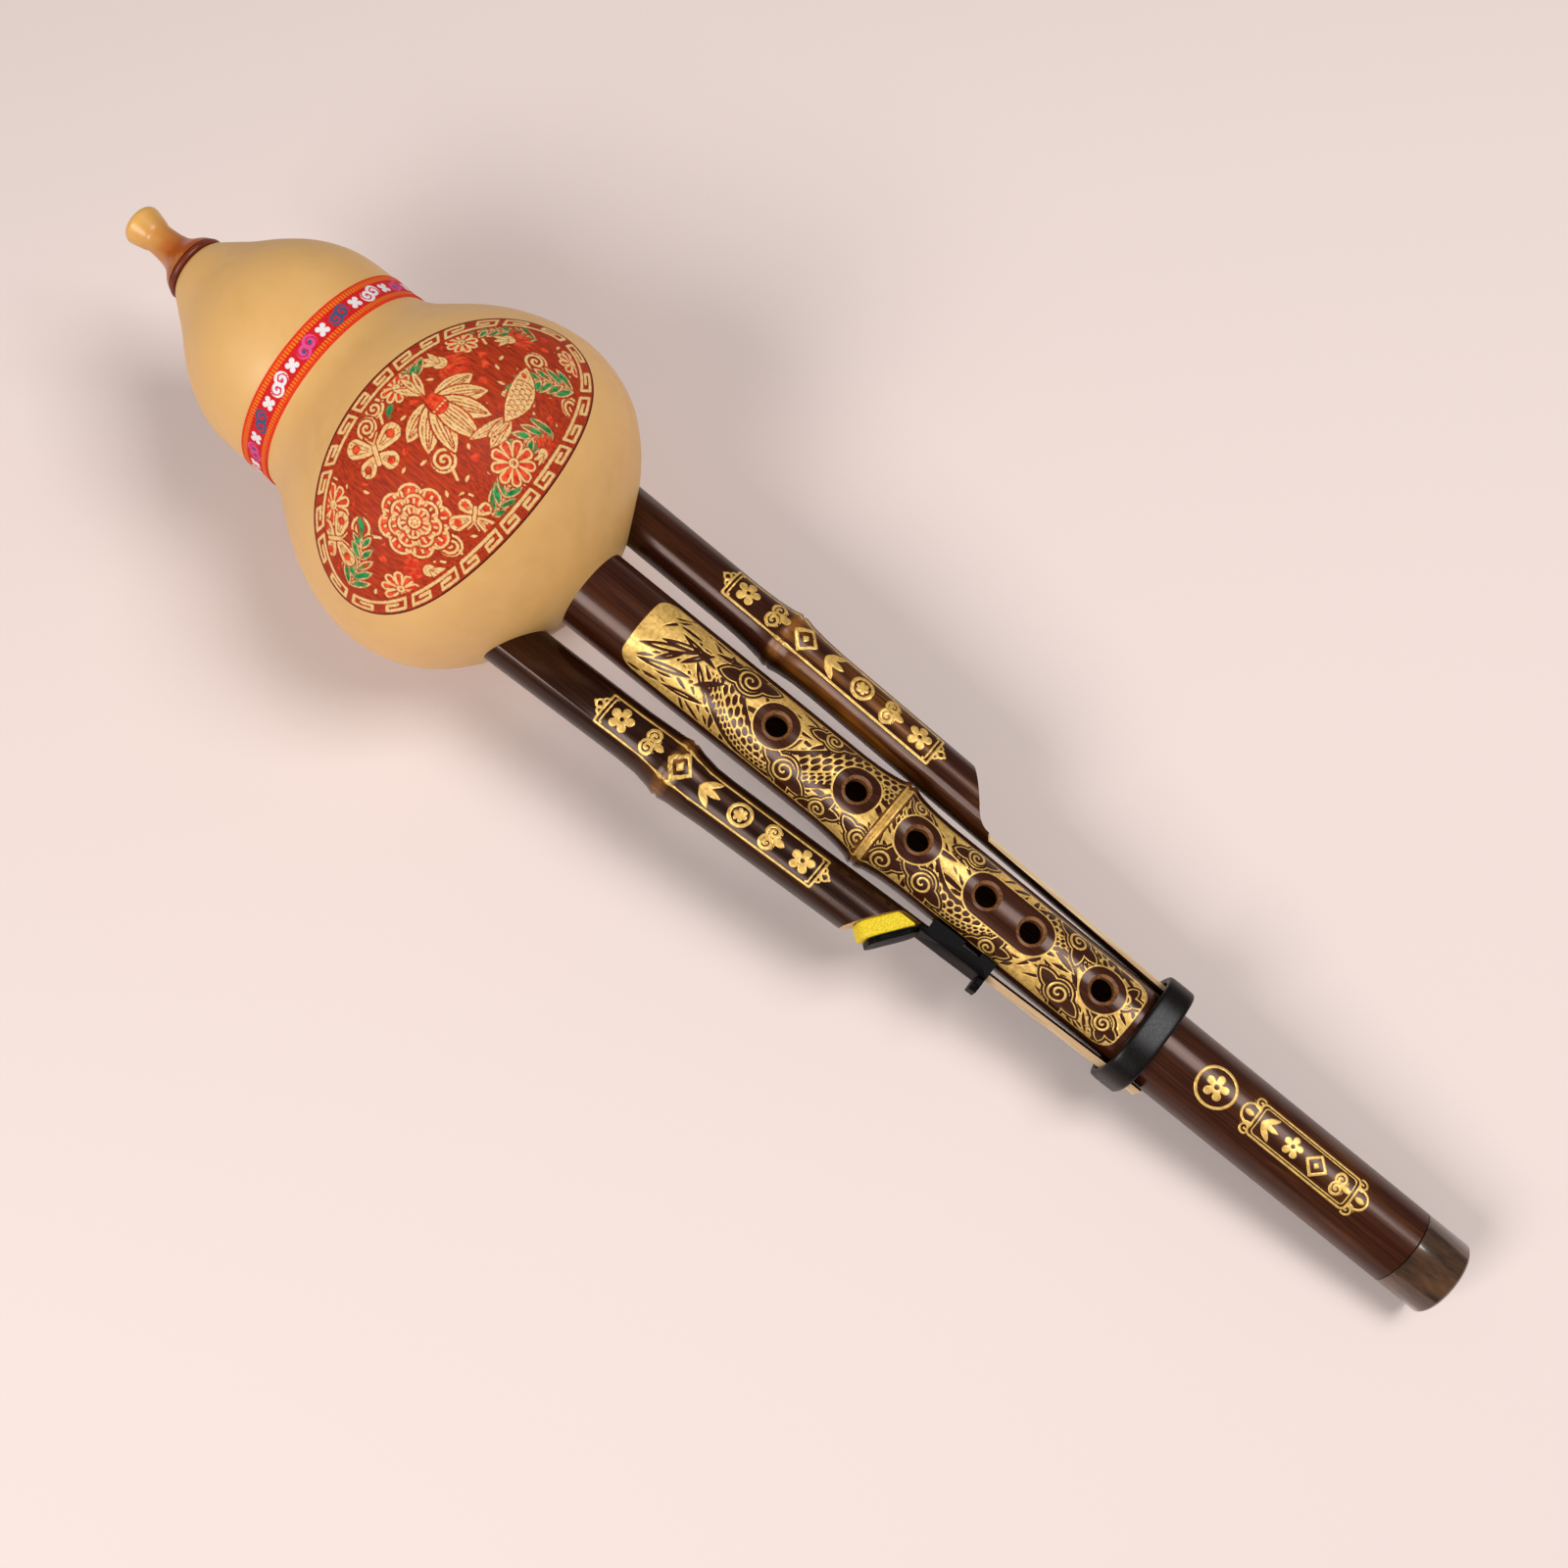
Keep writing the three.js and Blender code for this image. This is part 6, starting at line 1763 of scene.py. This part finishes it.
class HULUSI_OT_switch(bpy.types.Operator):
    """Finishes the drone switch: the moulded slider and its foam pad"""

    bl_idname = "hulusi.switch"
    bl_label = "Drone switch"

    EDGE_ROUNDING = 0.16
    EDGE_DEGREES = 35
    # The pad's own frame: up, out along the slanted mouth, and away from it
    SLANT = math.radians(36.0)
    LEAN_X = LEFT["lean_x"]
    LEAN_SKIN = 13.260
    TONGUE = 1.4
    FILLET = 1.4
    PAD_SEAT = 0.3
    PAD_CLEAR = 0.3
    PAD_THICKNESS = 4.5
    PAD_LENGTH = 14.1
    # The layers draw in to a point this far past the middle of the length
    PAD_MIDDLE_PAST = 1.0
    PAD_HALF = 6.2
    PAD_CORNER = 3.2
    CORNER_POINTS = 24
    INNER_POINTS = 30
    # Where its layers lie in shares of the thickness, how far the rounding of both faces reaches, and how
    # far in it draws them
    LAYER_SHARES = [0.0, 0.03, 0.1, 0.2, *np.linspace(0.3, 0.7, 7), 0.8, 0.9, 0.97, 1.0]
    ROUNDING_DEPTH = 0.9
    DRAWN_IN = 0.55
    # Each face closes in these shares of the way to its middle, and a little short of it
    CAP_SHARES = (0.3, 0.6, 0.85, 1.0)
    CAP_REACH_SHARE = 0.999

    def execute(self, context):
        plastic = grained("moulded ABS, satin black")
        slider = finished("drone_slider_moulded", merged_copy("drone_slider"), [plastic], SWITCH,
                          ["drone_slider"], 30)
        bevel = slider.modifiers.new("edges", "BEVEL")
        bevel.width = self.EDGE_ROUNDING * MM
        bevel.segments = 2
        bevel.limit_method = "ANGLE"
        bevel.angle_limit = math.radians(self.EDGE_DEGREES)
        loops = self.pad_loops(*self.pad_outline())
        count = len(loops[0])
        faces = [grid_faces(len(loops), count, closed_columns=True),
                 np.arange(count)[None, ::-1], ((len(loops) - 1) * count + np.arange(count))[None]]
        foam = grained("closed-cell foam", dark=toned(context.scene.hulusi_switch.foam))
        made = piece("drone_pad_foam", np.vstack(loops), faces, [foam], SWITCH,
                     ["drone_pad"], 60)
        return {"FINISHED"}

    def pad_outline(self):
        """A rectangle up and out with two rounded outer corners, and which of its points are on the inner
        end, where the tongue cuts it off."""
        half, length, r = self.PAD_HALF, self.PAD_LENGTH, self.PAD_CORNER
        corner = np.linspace(0, math.pi / 2, self.CORNER_POINTS)
        top = np.stack([half - r + r * np.cos(corner), length - r + r * np.sin(corner)])
        corner = corner + math.pi / 2
        bottom = np.stack([r - half + r * np.cos(corner), length - r + r * np.sin(corner)])
        inner = np.stack([np.linspace(-half, half, self.INNER_POINTS), np.zeros(self.INNER_POINTS)])
        up, out = np.concatenate([top, bottom, inner], axis=1)
        return up, out, np.arange(len(up)) >= 2 * self.CORNER_POINTS

    def pad_loops(self, up, out, is_inner):
        """The outline in layers from the mouth outwards. The inner end of each follows the tongue, and the
        layers draw in by a quarter round at both faces."""
        lean = (self.LEAN_SKIN - HELD_SKIN) / (RING_X - self.LEAN_X)
        tongue_out = np.array([lean, -1.0, 0.0]) / math.hypot(1.0, lean)
        mouth_out = np.array([-math.sin(self.SLANT), -math.cos(self.SLANT), 0.0])
        away = np.array([math.cos(self.SLANT), -math.sin(self.SLANT), 0.0])
        origin = np.array([self.LEAN_X, -self.LEAN_SKIN, 0.0])
        clear = self.TONGUE + self.FILLET * math.cos(self.SLANT) + self.PAD_CLEAR
        middle = np.array([0.0, self.PAD_LENGTH / 2 + self.PAD_MIDDLE_PAST])
        layers = np.array(self.LAYER_SHARES)
        edge = np.clip(np.minimum(layers, 1 - layers) * self.PAD_THICKNESS / self.ROUNDING_DEPTH, 0, 1)
        pull = self.DRAWN_IN * (1 - np.sqrt(np.clip(1 - (1 - edge) ** 2, 0, 1)))
        rows = []
        for share, drawn in zip(layers, pull):
            depth = self.PAD_SEAT + share * self.PAD_THICKNESS
            foot = (clear - depth * float(away @ tongue_out)) / float(mouth_out @ tongue_out)
            rim_out = np.where(is_inner, foot, np.maximum(out, foot))
            inward = np.stack([middle[0] - up, middle[1] - rim_out], -1)
            inward = inward / np.maximum(np.hypot(*inward.T), TINY)[:, None]
            a = up + drawn * inward[:, 0]
            b = rim_out + drawn * inward[:, 1]
            rows.append(origin + np.outer(a, [0, 0, 1.0]) + np.outer(b, mouth_out) + depth * away)
        first, last = [
            [row + share * (row.mean(0) - row) * self.CAP_REACH_SHARE for share in self.CAP_SHARES]
            for row in (rows[0], rows[-1])]
        return first[::-1] + rows + last


class HULUSI_OT_inner(bpy.types.Operator):
    """Gives the pieces inside the gourd their materials"""

    bl_idname = "hulusi.inner"
    bl_label = "Inner pieces"

    def execute(self, context):
        brass, wax, stopper = [grained(name) for name in ("rolled brass", "brown beeswax", "pressed cork")]
        for node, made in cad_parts.items():
            for ending, material in (("reed", brass), ("wax", wax), ("seal", wax), ("plug", stopper)):
                if node.endswith(ending):
                    made.data.materials.clear()
                    made.data.materials.append(material)
        return {"FINISHED"}


class HULUSI_PT_panel(bpy.types.Panel):
    """Lists the pieces and their sizes in the sidebar"""

    bl_idname = "HULUSI_PT_panel"
    bl_label = "Gourd flute"
    bl_space_type = "VIEW_3D"
    bl_region_type = "UI"
    bl_category = "Gourd flute"

    def draw(self, context):
        for group in GROUPS:
            values = getattr(context.scene, group)
            for name in values.bl_rna.properties.keys():
                if name not in ("rna_type", "name"):
                    self.layout.prop(values, name)
        for operator in OPERATORS:
            self.layout.operator(operator.bl_idname)


GROUPS = {
    "hulusi_gourd": HulusiGourd, "hulusi_pipes": HulusiPipes, "hulusi_switch": HulusiSwitch,
    "hulusi_stage": HulusiStage}
OPERATORS = [
    HULUSI_OT_stage, HULUSI_OT_gourd, HULUSI_OT_medallion, HULUSI_OT_ribbon, HULUSI_OT_mouthpiece,
    HULUSI_OT_main_pipe, HULUSI_OT_side_pipes, HULUSI_OT_gilding, HULUSI_OT_ring, HULUSI_OT_tail_ring,
    HULUSI_OT_switch, HULUSI_OT_inner]


def register():
    for group in [*GROUPS.values(), *OPERATORS, HULUSI_PT_panel]:
        bpy.utils.register_class(group)
    for name, group in GROUPS.items():
        setattr(bpy.types.Scene, name, PointerProperty(type=group))


def unregister():
    for name in GROUPS:
        delattr(bpy.types.Scene, name)
    for group in [HULUSI_PT_panel, *reversed(OPERATORS), *GROUPS.values()]:
        bpy.utils.unregister_class(group)


def main():
    register()
    bpy.ops.hulusi.stage()
    bpy.ops.hulusi.gourd()
    bpy.ops.hulusi.medallion()
    bpy.ops.hulusi.ribbon()
    bpy.ops.hulusi.mouthpiece()
    bpy.ops.hulusi.main_pipe()
    bpy.ops.hulusi.side_pipes()
    bpy.ops.hulusi.gilding()
    bpy.ops.hulusi.ring()
    bpy.ops.hulusi.tail_ring()
    bpy.ops.hulusi.switch()
    bpy.ops.hulusi.inner()
    bpy.context.view_layer.update()


if __name__ == "__main__":
    main()
